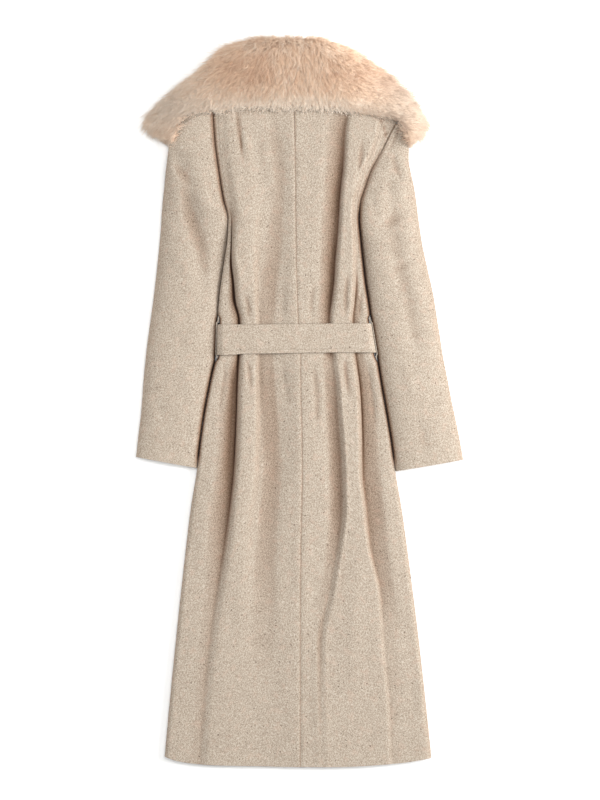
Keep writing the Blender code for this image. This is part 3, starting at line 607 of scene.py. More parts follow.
def creased(x, y, creases):
    """How much a list of small creases raises the cloth at each point."""
    total = np.zeros_like(x)
    for crease in creases:
        run = np.array((crease.x1 - crease.x0, crease.y1 - crease.y0))
        length = np.linalg.norm(run)
        along = ((x - crease.x0) * run[0] + (y - crease.y0) * run[1]) / length ** 2
        off = ((x - crease.x0) * run[1] - (y - crease.y0) * run[0]) / length
        off += CREASE_WANDER * crease.half_width * np.sin(along * CREASE_WAVES + crease.x0)
        fade = ease(along / CREASE_FADE) * ease((1 - along) / CREASE_FADE)
        total += crease.height * fade * np.exp(-(off / crease.half_width) ** 2)
    return total


def uneven(x, y):
    """The slight unevenness of soft cloth: broad waves and finer ones, in no clear direction."""
    broad = np.sin(x / 23 + 1.3 * np.sin(y / 61)) * np.sin(y / 47 + 0.9)
    fine = np.sin(x / 11 - y / 29 + 2.0) * np.sin(y / 19 + x / 37)
    return BROAD_WAVES * broad + FINE_WAVES * fine


def back_height(x, y):
    """Height of the middle of the back's cloth, side edges left out."""
    lines = fold_lines(y)
    level = np.minimum(y, UNDER_COLLAR_Y)
    heights = [FOLD_HEIGHTS.at(name, level) for name in LINES]
    z = body_lift(y) + heights[0]
    for i, run in enumerate(RUNS):
        t = (x - lines[..., i]) / (lines[..., i + 1] - lines[..., i])
        z = z + (heights[i + 1] - heights[i]) * RUN_SHAPES[run](t, y)
    off_seam = x - lines[..., CENTRE_LINE]
    z -= SEAM_PINCH * np.exp(-(off_seam / SEAM_PINCH_WIDTH) ** 2)
    z += ALLOWANCE_HEIGHT * np.exp(-((off_seam + ALLOWANCE_PLACE) / ALLOWANCE_WIDTH) ** 2)
    off_right = x - lines[..., LINES.index("valley_right")]
    z += SKIRT_FILL * below(y, SKIRT) * np.exp(-(off_right / SKIRT_FILL_WIDTH) ** 2)
    for name in ("valley_left", "crease_right"):
        off_line = x - lines[..., LINES.index(name)]
        z -= GROOVES.at(name, level) * np.exp(-(off_line / GROOVE_WIDTH) ** 2)
    return z + creased(x, y, BACK_CREASES) + uneven(x, y)


def rows_between(top, bottom, step):
    """Evenly spaced stations from the top down to the bottom."""
    return np.linspace(top, bottom, 1 + round((top - bottom) / step))


def quarter_turn(steps, evened):
    """How far in and how far up the steps of a turned edge lie; evened ones are spread flat."""
    angle = np.linspace(0, math.pi / 2, steps + 1)[:-1]
    inward = 1 - np.cos(angle)
    even = np.arange(steps) / steps
    return inward + (even - inward) * evened[:, None], np.sin(angle) + np.zeros_like(evened)[:, None]


def body_rows(top_y):
    """y, share of the shoulder slope, and how far it has turned up, for the rows of a body panel."""
    y = rows_between(top_y, LOWEST_ROW, ROW_STEP)
    slope = ease((y - SHOULDER_FADE_Y) / (top_y - SHOULDER_FADE_Y - SHOULDER_LEVEL))
    return y, slope, ease((top_y - y) / SHOULDER_REACH)


def row_y(x, y, slope, edge):
    """y of each row's points: its own at its edge, raised towards the neck and shaped at the hem."""
    to_hem = np.clip((HEM_FADE_Y - y) / (HEM_FADE_Y - LOWEST_ROW), 0, 1)
    rise = SHOULDER.at("y", x) - SHOULDER.at("y", edge)[:, None]
    return y[:, None] + rise * slope[:, None] + (HEM.at("y", x) - LOWEST_ROW) * to_hem[:, None]


def runs_between(places, steps):
    """Splits each run between neighbouring places, one row for each station."""
    parts = [places[0][:, None]]
    for start, end, count in zip(places, places[1:], steps):
        parts.append(start[:, None] + (end - start)[:, None] * np.arange(1, count + 1) / count)
    return np.hstack(parts)


def back_panel(half):
    """Points of a back panel, row by row, from its side seam to the centre seam."""
    y, slope, rise = body_rows(half.top_y)
    lines = list(fold_lines(y).T)
    seam = lines[CENTRE_LINE] - half.inward * SEAM / 2
    if half is LEFT:
        places = runs_between(lines[:CENTRE_LINE] + [seam], LEFT_RUN_STEPS)
    else:
        places = runs_between(lines[:CENTRE_LINE:-1] + [seam], RIGHT_RUN_STEPS)
    edge = side_edge(half.side, y, half.inward)
    inwards, up = quarter_turn(TURN_STEPS, 1 - rise)
    x = np.hstack([edge[:, None] + (places[:, :1] - edge[:, None]) * inwards, places])
    up = np.hstack([up, np.ones_like(places)])
    up = up + (1 - up) * ARMHOLE_CLOSED.at(half.word, y)[:, None]
    point_y = row_y(x, y, slope, edge)
    low = body_lift(point_y) + UPPER_EDGE
    z = low + (back_height(x, point_y) - low) * up * rise[:, None]
    return np.stack([x, point_y, z], axis=-1)


def front_panel(half):
    """Points of a front, row by row, from its side seam to its wrapped edge."""
    y, slope, rise = body_rows(half.top_y)
    neck_y = y + (NECK_TOP_Y - half.top_y) * slope
    inner = NECK_LINE.at(half.word, neck_y)
    edge = side_edge(half.side, y, half.inward)
    flat_start = edge + half.inward * EDGE_HEIGHT
    opened = armhole_open(y)
    inwards, up = quarter_turn(TURN_STEPS, opened)
    up = up + (1 - up) * opened[:, None]
    step_start = np.minimum(NECK_LINE.at("right", neck_y) - WRAP_CLEAR_UNDER, inner - WRAP_CLEAR_INNER)
    if half is LEFT:
        places = runs_between([flat_start, step_start, step_start + WRAP_RUN, inner], LEFT_FRONT_STEPS)
    else:
        places = runs_between([flat_start, inner], RIGHT_FRONT_STEPS)
    x = np.hstack([edge[:, None] + half.inward * EDGE_HEIGHT * inwards, places])
    up = np.hstack([up, np.ones_like(places)])
    point_y = row_y(x, y, slope, edge)
    z = body_lift(point_y) + HALF + LOWER_EDGE * (1 - up) * (rise ** 3)[:, None]
    z = z + (SHOULDER_EDGE * (1 - rise))[:, None]
    if half is LEFT:
        z = z + WRAP_STEP * ease((x - step_start[:, None]) / WRAP_RUN) * rise[:, None]
    return np.stack([x, point_y, z], axis=-1)


def sleeve_rows(half):
    """y of the inner end and how far it has turned up, for the stations of a sleeve."""
    y = rows_between(half.top_y, half.cuff_y, ROW_STEP)
    return y, ease((half.top_y - y) / SHOULDER_REACH)


def sleeve_ends(half, inner_y):
    """The outer and the inner end of each of a sleeve's stations."""
    outer_y = half.sleeve.at("outer_y", inner_y)
    outer_x = half.outer.at("x", outer_y) + half.inward * HALF
    inner_x = side_edge(half.side, inner_y, -half.inward, SLEEVE_BELT_SHARE)
    return np.stack([outer_x, outer_y], axis=-1), np.stack([inner_x, inner_y], axis=-1)


def sleeve_points(half, across, inner_y):
    """x and y of the points across each station."""
    outer, inner = sleeve_ends(half, inner_y)
    return (outer[:, None, i] + (inner - outer)[:, None, i] * across for i in (0, 1))


def upper_sleeve(half):
    """Points of the sleeve's upper piece, which arches from the outer seam to the inner one."""
    inner_y, rise = sleeve_rows(half)
    flat = 1 - rise[:, None]
    angle = np.linspace(0, math.pi, SLEEVE_STEPS + 1)
    rounded_across = (1 - np.cos(angle)) / 2
    across = rounded_across + (angle / math.pi - rounded_across) * flat
    off_crown = np.clip(2 * rounded_across - 1, -1, 1)
    arch = np.sqrt(1 - np.abs(off_crown) ** ARCH_POWER)
    armhole = ARMHOLE_CLOSED.at(half.word, inner_y)[:, None]
    closed = armhole * (off_crown > 0)
    arch = arch + (1 - off_crown ** 2 - arch) * closed
    x, y = sleeve_points(half, across, inner_y)
    crown = half.sleeve.at("crown", inner_y)[:, None] * arch
    crown = crown * (1 - CLOSED_CROWN_LOSS * armhole)
    off_trough = (x - half.trough.at("x", y)) / TROUGH_HALF_WIDTH
    dip = half.trough.at("depth", y) * np.exp(-off_trough ** 2)
    crown = crown - np.minimum(dip, TROUGH_LIMIT * crown)
    crown = crown + (creased(x, y, half.creases) + uneven(x, y)) * arch
    low = sleeve_lift(across, inner_y[:, None]) + UPPER_EDGE
    seam_share = ease((off_crown - CLOSED_SEAM_START) / (1 - CLOSED_SEAM_START))
    low = low + closed * CLOSED_SEAM_RISE * seam_share * rise[:, None]
    return np.stack([x, y, low + crown * rise[:, None]], axis=-1)


def under_sleeve(half):
    """Points of the sleeve's under piece, flat but for its turned-up edges."""
    inner_y, rise = sleeve_rows(half)
    outer, inner = sleeve_ends(half, inner_y)
    turn = (EDGE_HEIGHT / np.linalg.norm(inner - outer, axis=-1))[:, None]
    opened = armhole_open(inner_y)
    outer_in, outer_up = quarter_turn(TURN_STEPS, 1 - rise)
    inner_in, inner_up = quarter_turn(TURN_STEPS, opened)
    inner_up = inner_up + (1 - inner_up) * opened[:, None]
    middle = runs_between([turn[:, 0], 1 - turn[:, 0]], UNDER_SLEEVE_STEPS)
    across = np.hstack([turn * outer_in, middle, 1 - turn * inner_in[:, ::-1]])
    up = np.hstack([outer_up, np.ones_like(middle), inner_up[:, ::-1]])
    x, y = sleeve_points(half, across, inner_y)
    z = sleeve_lift(across, inner_y[:, None]) + HALF
    z = z + LOWER_EDGE * (1 - up) * (rise ** 3)[:, None] + (SHOULDER_EDGE * (1 - rise))[:, None]
    return np.stack([x, y, z], axis=-1)


def belt_band():
    """Points along the belt, from its inner end in front round the back to its outer end."""
    middle_z = (BELT_TOP_Z + BELT_THICKNESS / 2) / 2
    radius = middle_z - BELT_THICKNESS / 2
    inner_z = BELT_THICKNESS * 1.5 + SEAM
    outer_z = BELT_THICKNESS / 2
    clear = HALF + BELT_CLEARANCE + BELT_THICKNESS / 2
    angle = np.linspace(0, math.pi, BELT_TURN_STEPS + 1)
    step_start = -BELT_FRONT_END - BELT_STEP_START
    front = np.linspace(BELT_FRONT_END, step_start, BELT_FRONT_STEPS)
    down = np.linspace(step_start, -BELT_FRONT_END - BELT_STEP_END, BELT_DOWN_STEPS)[1:]
    down_z = inner_z + (outer_z - inner_z) * ease(np.linspace(0, 1, BELT_DOWN_STEPS)[1:])
    rows = []
    for y in np.linspace(BELT_LOW_Y, BELT_HIGH_Y, BELT_ROWS):
        left = float(side_edge(LEFT_SIDE, y, 1)) - clear + radius
        right = float(side_edge(RIGHT_SIDE, y, -1)) + clear - radius
        top = np.linspace(left, right, BELT_TOP_STEPS)[1:-1]
        last = np.linspace(right, -BELT_FRONT_END, BELT_LAST_STEPS)[1:]
        x = np.concatenate([front, down, left - radius * np.sin(angle), top,
                            right + radius * np.sin(angle), last])
        stitched = math.exp(-((y - BELT_LOW_Y - BELT_STITCH_SET) / BELT_STITCH_WIDTH) ** 2)
        along, askew, across = BELT_WAVES
        waves = BELT_WAVE_HEIGHT * np.sin(top / along) * np.sin(top / askew + y / across)
        top_z = BELT_TOP_Z + waves - BELT_STITCH_DEPTH * stitched
        z = np.concatenate([np.full(len(front), inner_z), down_z, middle_z - radius * np.cos(angle),
                            top_z, middle_z + radius * np.cos(angle), np.full(len(last), outer_z)])
        low_share = (BELT_HIGH_Y - y) / (BELT_HIGH_Y - BELT_LOW_Y)
        droop = BELT_DROOP * np.exp(-((x - left) / BELT_DROOP_RUN) ** 2) * low_share
        bowed = y + BELT_BOW * np.sin(x / BELT_BOW_RUN) - droop
        rows.append(np.stack([x, bowed, z], axis=-1))
    return np.stack(rows)


def belt_loop(half):
    """Points of a belt loop, which stands out from the side seam round the belt."""
    seated = HALF + BELT_CLEARANCE + LOOP_THICKNESS / 2
    over_belt = seated + BELT_THICKNESS + SEAM
    path = Table("y out", [
        (BELT_HIGH_Y + LOOP_ABOVE, seated), (BELT_HIGH_Y + 7, seated), (BELT_HIGH_Y + 1, over_belt),
        (110, over_belt), (BELT_LOW_Y - 1, over_belt), (BELT_LOW_Y - 6, seated + 1),
        (BELT_LOW_Y - LOOP_BELOW, seated + 0.6),
    ])
    y = np.linspace(BELT_HIGH_Y + LOOP_ABOVE, BELT_LOW_Y - LOOP_BELOW, LOOP_STEPS)
    x = side_edge(half.side, y, half.inward) - half.inward * path.at("out", y)
    middle_z = WAIST_LIFT + EDGE_HEIGHT
    return np.stack([np.stack([x, y, np.full_like(y, middle_z + LOOP_WIDTH * part)], axis=-1)
                     for part in np.linspace(-0.5, 0.5, LOOP_ACROSS)])


def rounded(distance, reach):
    """A quarter round: 0 at the edge, 1 from its reach inwards."""
    return np.sqrt(np.maximum(0.0, 1 - (1 - np.clip(distance / reach, 0, 1)) ** 2))


def collar_top(x, along, inset):
    """The collar's upper side: x across, along from its high edge to its low one, set in from the tips."""
    low, high = COLLAR_LOW.at("y", x), COLLAR_HIGH.at("y", x)
    inset_here = inset * np.clip((high - low) / COLLAR_BROAD, 0, 1)
    low, high = low + COLLAR_LOW_INSET * inset_here, high - inset_here
    crown = COLLAR_CROWN.at("z", x)
    crown = crown - np.minimum(inset, COLLAR_CROWN_INSET * crown)
    length = high - low
    over_cloth = (x > COLLAR_TURN.rows[0, 0]) & (x < COLLAR_TURN.rows[-1, 0])
    under = np.where(over_cloth, COLLAR_UNDERSIDE, FLOOR_GAP)
    rim = np.minimum(COLLAR_RIM, 0.5 * crown)
    low_edge = under + np.minimum(COLLAR_LIP, 0.3 * crown)
    y = high - length * along
    down_low = 1 - rounded(y - low, np.minimum(COLLAR_LOW_ROUND, 0.5 * length))
    down_high = 1 - rounded(high - y, np.minimum(COLLAR_HIGH_ROUND, 0.5 * length))
    return y, crown - (crown - low_edge) * down_low - (crown - rim) * down_high


def collar_rings(inset):
    """Sections of the backing that the fur grows from, each a closed ring."""
    reach = 1 - inset / COLLAR_HALF_WIDTH
    along = (1 - np.cos(np.linspace(0, math.pi, COLLAR_STEPS))) / 2
    rings = []
    for x in COLLAR_SECTIONS:
        y, z = collar_top(np.full_like(along, x), along, inset)
        high, low = y[0], y[-1]
        if COLLAR_TURN.rows[0, 0] < x < COLLAR_TURN.rows[-1, 0]:
            under = COLLAR_UNDERSIDE
            turn = max(float(COLLAR_TURN.at("y", x)), low + COLLAR_TURN_MARGIN[0])
        else:
            under = FLOOR_GAP
            turn = low + 0.5 * (high - low)
        turn = min(turn, high - COLLAR_TURN_MARGIN[1])
        start = low + COLLAR_UNDER_START * (high - low)
        under_y = np.linspace(start, turn, COLLAR_UNDER_STEPS)
        down_y = turn + (high - turn) * np.array(COLLAR_DOWN_SHARES)
        ring_y = np.concatenate([under_y, down_y, y])
        ring_z = np.concatenate([np.full_like(under_y, under), np.full_like(down_y, FLOOR_GAP), z])
        rings.append(np.stack([np.full_like(ring_y, x * reach), ring_y, ring_z], axis=-1))
    return np.stack(rings)


def lapel_rings(half):
    """Sections of a lapel, flat under the chest, from the shoulder down to the wrap."""
    table = LEFT_LAPEL if half is LEFT else RIGHT_LAPEL
    rings = []
    for y in np.linspace(table.rows[-1, 0], table.rows[0, 0], LAPEL_ROWS):
        outer = float(table.at("outer", y))
        inner = float(NECK_LINE.at("right", y))
        if half is LEFT:
            inner = min(float(NECK_LINE.at("left", y)), inner - LAPEL_GAP)
        x0, x1 = sorted((inner, outer))
        edge = min(LAPEL_ROUND, (x1 - x0) / 3)
        top = float(body_lift(y)) - LAPEL_CLEARANCE
        bottom = FLOOR_GAP
        low_side = np.linspace(x0 + edge, x1 - edge, LAPEL_STEPS)
        ring = [(x0, (top + bottom) / 2)] + [(x, bottom) for x in low_side]
        ring += [(x1, (top + bottom) / 2)] + [(x, top) for x in low_side[::-1]]
        rings.append([(x, y, z) for x, z in ring])
    return np.array(rings)


def deselect_all():
    """Leaves nothing selected, so that an operator acts on the new piece alone."""
    if bpy.context.object and bpy.context.object.mode != "OBJECT":
        bpy.ops.object.mode_set(mode="OBJECT")
    bpy.ops.object.select_all(action="DESELECT")


def apply_modifiers(piece):
    """Turns every modifier of a piece into mesh."""
    for modifier in list(piece.modifiers):
        bpy.ops.object.modifier_apply(modifier=modifier.name)


def grid_piece(name, points):
    """A grid primitive laid on the points, row by row, with a UV map of real lengths in metres."""
    rows, columns = points.shape[:2]
    deselect_all()
    bpy.ops.mesh.primitive_grid_add(x_subdivisions=columns - 1, y_subdivisions=rows - 1, size=1.0)
    piece = bpy.context.object
    piece.name = name
    mesh = piece.data
    mesh.name = name
    flat = np.empty(len(mesh.vertices) * 3)
    mesh.vertices.foreach_get("co", flat)
    flat = flat.reshape(-1, 3)
    column = np.rint((flat[:, 0] + 0.5) * (columns - 1)).astype(int)
    row = np.rint((flat[:, 1] + 0.5) * (rows - 1)).astype(int)
    mesh.vertices.foreach_set("co", (points[row, column] * MM).ravel())
    across = run_lengths(points, 1)
    to_the_right = 1.0 if points[0, -1, 0] > points[0, 0, 0] else -1.0
    across = points[..., 0].mean() + to_the_right * (across - across.mean(axis=1, keepdims=True))
    down = points[..., 1].mean() - run_lengths(points, 0)
    lengths = np.stack([across[row, column], down[row, column]], axis=-1) * MM
    corner = np.empty(len(mesh.loops), dtype=int)
    mesh.loops.foreach_get("vertex_index", corner)
    mesh.uv_layers.active.data.foreach_set("uv", lengths[corner].ravel())
    mesh.update()
    return piece


def run_lengths(points, axis):
    """Length of cloth from the first row or column to each point."""
    steps = np.linalg.norm(np.diff(points, axis=axis), axis=-1)
    total = np.cumsum(steps, axis=axis)
    first = np.zeros_like(np.take(total, [0], axis=axis))
    return np.concatenate([first, total], axis=axis)


def stand_for(piece, node):
    """Lets a piece ride on the coat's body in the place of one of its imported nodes."""
    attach(piece, "root")
    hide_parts(node)


def declare_sheet(piece, node):
    """Says what a sheet of the coat's cloth stands for."""
    stand_for(piece, node)


def sheet_piece(name, points, thickness, material, bevel=0.0):
    """A cloth sheet of even thickness on the points."""
    piece = grid_piece(name, points)
    wall = piece.modifiers.new("Cloth thickness", "SOLIDIFY")
    wall.thickness = thickness * MM
    wall.offset = 0.0
    if bevel:
        edge = piece.modifiers.new("Soft edge", "BEVEL")
        edge.width = bevel * MM
        edge.segments = 2
        edge.limit_method = "ANGLE"
        edge.angle_limit = BEVEL_ANGLE
    apply_modifiers(piece)
    bpy.ops.object.shade_smooth_by_angle(angle=SMOOTH_ANGLE)
    piece.data.materials.append(material)
    return piece


def loft_piece(name, rings, material):
    """A closed body through rings: a grid whose ends are drawn together and whose sides are merged."""
    ends = [np.broadcast_to(ring.mean(axis=0), ring.shape)[None] for ring in (rings[0], rings[-1])]
    points = np.concatenate([ends[0], rings, ends[1]])
    points = np.concatenate([points, points[:, :1]], axis=1)
    piece = grid_piece(name, points)
    bpy.ops.object.mode_set(mode="EDIT")
    bpy.ops.mesh.select_all(action="SELECT")
    bpy.ops.mesh.remove_doubles(threshold=MERGE_DISTANCE)
    bpy.ops.mesh.normals_make_consistent(inside=False)
    bpy.ops.object.mode_set(mode="OBJECT")
    bpy.ops.object.shade_smooth_by_angle(angle=SMOOTH_ANGLE)
    piece.data.materials.append(material)
    return piece


def srgb(red, green, blue):
    """A colour as seen on screen, from 0 to 255 a channel, as the light values that shaders use."""
    return tuple(((c / 255 + 0.055) / 1.055) ** 2.4 if c > 10 else c / 255 / 12.92
                 for c in (red, green, blue))


class NodeSheet:
    """Adds shader nodes to a material and wires them."""

    def __init__(self, name):
        self.material = bpy.data.materials.new(name)
        self.material.use_nodes = True
        self.tree = self.material.node_tree
        self.shader = self.tree.nodes["Principled BSDF"]

    def set(self, socket, value):
        """Links a node's output to a socket, or sets the socket's own value."""
        if isinstance(value, bpy.types.NodeSocket):
            self.tree.links.new(value, socket)
        elif isinstance(value, tuple) and len(value) == 3 and socket.type == "RGBA":
            socket.default_value = (*value, 1.0)
        else:
            socket.default_value = value

    def add(self, kind, settings=None, **inputs):
        """A node with its settings and its inputs; a name such as in_0 is an input by number."""
        node = self.tree.nodes.new(kind)
        for key, value in (settings or {}).items():
            setattr(node, key, value)
        for key, value in inputs.items():
            index = int(key[3:]) if key.startswith("in_") else key.replace("_", " ")
            self.set(node.inputs[index], value)
        return node

    def math(self, operation, a, b=0.0, clamp=False):
        """Two values joined by an operation."""
        settings = {"operation": operation, "use_clamp": clamp}
        return self.add("ShaderNodeMath", settings, in_0=a, in_1=b).outputs[0]

    def value_of(self, attribute):
        """A value that is stored on the piece's points."""
        return self.add("ShaderNodeAttribute", {"attribute_name": attribute}).outputs["Fac"]

    def noise(self, place, scale, detail, roughness=0.5, output="Fac"):
        """Noise on a flat pattern."""
        node = self.add("ShaderNodeTexNoise", {"noise_dimensions": "2D"}, Vector=place, Scale=scale,
                        Detail=detail, Roughness=roughness)
        return node.outputs[output]

    def blend(self, share, first, second, kind="MIX"):
        """Two colours mixed."""
        settings = {"data_type": "RGBA", "blend_type": kind, "clamp_factor": True}
        node = self.add("ShaderNodeMix", settings, Factor=share)
        colours = [socket for socket in node.inputs if socket.type == "RGBA"]
        for socket, colour in zip(colours, (first, second)):
            self.set(socket, colour)
        return [socket for socket in node.outputs if socket.type == "RGBA"][0]

    def ramp(self, value, low, high):
        """0 below the low value, 1 above the high one, smooth between."""
        settings = {"interpolation_type": "SMOOTHSTEP"}
        return self.add("ShaderNodeMapRange", settings, Value=value, From_Min=low,
                        From_Max=high).outputs["Result"]

    def bump(self, height, strength, distance):
        """Raises the surface by a value."""
        node = self.add("ShaderNodeBump", Strength=strength, Distance=distance, Height=height)
        self.set(self.shader.inputs["Normal"], node.outputs[0])

    def finish(self, colour, **values):
        """The finished material, with its colour and the shader's own values."""
        self.set(self.shader.inputs["Base Color"], colour)
        for key, value in values.items():
            self.shader.inputs[key.replace("_", " ")].default_value = value
        return self.material


def slubs(sheet, place, lean, length, width):
    """A value that varies in short thick threads, which lean from the sideways direction."""
    turned = sheet.add("ShaderNodeMapping", {"vector_type": "TEXTURE"}, Vector=place,
                       Rotation=(0.0, 0.0, math.radians(lean)), Scale=(length, width, 1.0)).outputs[0]
    return sheet.noise(turned, 1.0, 2.5, 0.65)


def flecks(sheet, place, fleck):
    """1 inside sparse small spots at uneven places, 0 between them."""
    cell = sheet.add("ShaderNodeTexVoronoi", {"voronoi_dimensions": "2D"}, Vector=place,
                     Scale=1 / fleck.spacing, Randomness=1.0)
    picked = sheet.add("ShaderNodeSeparateColor", in_0=cell.outputs["Color"])
    size = sheet.math("MULTIPLY", picked.outputs[1], fleck.radius)
    off_edge = sheet.math("SUBTRACT", size, cell.outputs["Distance"])
    inside = sheet.ramp(off_edge, -FLECK_EDGE, FLECK_EDGE)
    chosen = sheet.ramp(picked.outputs[0], 1 - fleck.chance, 1 + FLECK_EDGE - fleck.chance)
    return sheet.math("MULTIPLY", inside, chosen)


# The tweed's finish: its two ways of slubs, how unlike its yarns are, its cloudiness, its blush, how far
# its pattern wanders, and its flecks, from pale to dark.
SLUB_LEANS = (52, -48)
SLUB_SHARES = (0.5, 0.9)
YARN_RANGE = (0.38, 0.62)
CLOUDS = 0.35
BLUSH = 0.22
BLUSH_RANGE = (0.56, 0.72)
WANDER = (0.003, 0.003, 0.0)
Fleck = namedtuple("Fleck", "spacing radius chance strength colour")
FLECKS = (
    Fleck(0.0062, 0.36, 0.22, 0.24, "fleck_light"), Fleck(0.0075, 0.30, 0.26, 0.35, "fleck_soft"),
    Fleck(0.0100, 0.12, 0.34, 0.80, "fleck_dark"),
)
FLECK_EDGE = 0.02
# Past this range of the fold value, a further, darker painted shade is laid on.
PAINTED_DEEP_SHADE_RANGE = (0.7, 1.0)


def tweed(name, looks):
    """A nubby tweed: short leaning slubs, a faint blush, small pale, soft and dark flecks, and painted
    shade.
    """
    sheet = NodeSheet(name)
    place = sheet.add("ShaderNodeTexCoord").outputs["UV"]
    wander = sheet.noise(place, 160.0, 1.0, output="Color")
    moved = sheet.add("ShaderNodeVectorMath", {"operation": "MULTIPLY_ADD"}, in_0=wander, in_1=WANDER,
                      in_2=place).outputs[0]
    length, width = looks.slub_size, SLUB_SHARES[0] * looks.slub_size
    rising = slubs(sheet, moved, SLUB_LEANS[0], length, width)
    falling = slubs(sheet, moved, SLUB_LEANS[1], SLUB_SHARES[1] * length, SLUB_SHARES[1] * width)
    weave = sheet.math("MULTIPLY", sheet.math("ADD", rising, falling), 0.5)
    clouds = sheet.math("SUBTRACT", sheet.noise(place, 55.0, 3.0), 0.5)
    share = sheet.math("ADD", sheet.ramp(weave, *YARN_RANGE), sheet.math("MULTIPLY", clouds, CLOUDS), True)
    colour = sheet.blend(share, tuple(looks.wool_dark), tuple(looks.wool_light))
    blush = sheet.math("MULTIPLY", sheet.ramp(sheet.noise(moved, 70.0, 2.0), *BLUSH_RANGE), BLUSH)
    colour = sheet.blend(blush, colour, tuple(looks.russet))
    for fleck in FLECKS:
        shown = sheet.math("MULTIPLY", flecks(sheet, moved, fleck), fleck.strength)
        colour = sheet.blend(shown, colour, tuple(getattr(looks, fleck.colour)))
    # Painted shade: the cloth is darkened towards brown in folds, on its sides that face a gap and along
    # the back's seam, and darker still where that is deepest.
    fold = sheet.value_of("fold")
    tinted = sheet.math("MULTIPLY", fold, looks.fold_shade)
    colour = sheet.blend(tinted, colour, tuple(looks.painted_shade_colour), "MULTIPLY")
    colour = sheet.blend(sheet.ramp(fold, *PAINTED_DEEP_SHADE_RANGE), colour, tuple(looks.painted_deep_shade_colour), "MULTIPLY")
    sheet.bump(weave, 0.5, 0.0012)
    return sheet.finish(colour, Roughness=0.95, Specular_IOR_Level=0.15, Sheen_Weight=0.06,
                        Sheen_Roughness=0.5)


def fur_material(name, looks):
    """Fur that runs from a rose-brown root to a cream tip, read from each strand's tone, which holds some
    painted light.
    """
    sheet = NodeSheet(name)
    tone = sheet.value_of("tone")
    low = sheet.blend(sheet.ramp(tone, 0.0, 0.5), tuple(looks.fur_root), tuple(looks.fur_middle))
    colour = sheet.blend(sheet.ramp(tone, 0.45, 1.0), low, tuple(looks.fur_tip))
    colour = sheet.blend(sheet.value_of("grey"), colour, tuple(looks.fur_grey))
    return sheet.finish(colour, Roughness=0.7, Specular_IOR_Level=0.15, Sheen_Weight=0.12,
                        Sheen_Roughness=0.4, Sheen_Tint=(1.0, 0.86, 0.74, 1.0))


def backing_material(name, looks):
    """The dense under-fur below the strands, streaked along its length."""
    sheet = NodeSheet(name)
    place = sheet.add("ShaderNodeTexCoord").outputs["Object"]
    combed = sheet.add("ShaderNodeMapping", Vector=place, Scale=(900.0, 90.0, 300.0)).outputs[0]
    streak = sheet.add("ShaderNodeTexNoise", Vector=combed, Scale=1.0, Detail=3.0).outputs["Fac"]
    colour = sheet.blend(sheet.ramp(streak, 0.3, 0.75), tuple(looks.fur_root), tuple(looks.fur_middle))
    sheet.bump(streak, 0.8, 0.002)
    return sheet.finish(colour, Roughness=0.9)


def shelter(points):
    """How far a row's cloth walls each point in: 0 on a ridge or a flat, near 1 in a narrow valley."""
    x, z = points[..., 0], points[..., 2]
    walls = []
    for way in (1, -1):
        steepest = np.zeros_like(z)
        for shift in range(1, SHELTER_REACH + 1):
            here, there = (slice(None), slice(None, -shift)), (slice(None), slice(shift, None))
            if way < 0:
                here, there = there, here
            rise = np.zeros_like(z)
            rise[here] = (z[there] - z[here]) / np.maximum(np.abs(x[there] - x[here]), 1.0)
            steepest = np.maximum(steepest, rise)
        walls.append(np.sin(np.arctan(steepest)))
    average = (walls[0] + walls[1]) / 2
    return average + BOTH_WALLS * (np.sqrt(walls[0] * walls[1]) - average)


def paint_fold_shade(piece, points, half, gap_column, reach, seam_shade=0.0):
    """Paints shade onto the points: deep in a fold, on the side that faces a gap, and along the last seam.
    """
    to_gap = np.abs(points[..., 0] - points[:, gap_column, 0][:, None])
    side = SIDE_SHADE.at(half.word, points[..., 1]) * ease(1 - to_gap / reach)
    walled = np.maximum(shelter(points) - OPEN_SHELTER, 0) ** PAINTED_SHADE_POWER
    depth = np.maximum(np.clip(PAINTED_SHADE_STRENGTH * walled, 0, 1), side)
    depth[:, -1] = np.maximum(depth[:, -1], seam_shade)
    flat = np.empty(len(piece.data.vertices) * 3)
    piece.data.vertices.foreach_get("co", flat)
    values = nearest_values(points.reshape(-1, 3) * MM, depth.ravel(), flat.reshape(-1, 3))
    piece.data.attributes.new("fold", "FLOAT", "POINT").data.foreach_set("value", values)


def nearest_values(sources, values, targets):
    """The value of the nearest source point for each target point."""
    tree = KDTree(len(sources))
    for i, source in enumerate(sources):
        tree.insert(source, i)
    tree.balance()
    return np.array([values[tree.find(target)[1]] for target in targets], dtype=np.float32)


# Which way the fur lies: the angle from straight down the back, in degrees, positive towards the right.
FUR_FLOW = Table("x angle", [
    (-275, -40), (-230, -58), (-170, -55), (-110, -40), (-60, -18), (-10, -2), (40, 14), (85, 48),
    (120, 78), (165, 82), (200, 60), (223, 35),
])
FUR_PIECES = (("fur_left", -275, -95), ("fur_middle", -95, 75), ("fur_right", 75, 223))
FUR_INSET = 11.0
FUR_TOP_Z = 50.0
FUR_FLOOR_Z = 0.6
FUR_SEED = 7
# Steps whose multiples, less their whole parts, spread points evenly over a square.
EVEN_STEPS = (0.7548776662, 0.5698402910)
ROOT_COLUMNS = 140
ROOT_ROWS = 60
# In what follows, along is 0 at the collar's high edge and 1 at its low one, and a Stretch is where on the
# way something starts to change and the run that it changes over.
Stretch = namedtuple("Stretch", "start run")
# The tufts' flow straightens towards the low edge, and they are shorter and lie closer there.
FLOW_LOSS = 0.5
FLOW_STRAIGHTENS = Stretch(0.45, 0.55)
TUFT_LENGTHS = (0.78, 1.2)
LOW_EDGE_LOSS = 0.5
LOW_EDGE = Stretch(0.72, 0.2)
RAISED_HIGH = 0.85
RAISED_MORE = 0.15
RAISED = Stretch(0.0, 0.3)
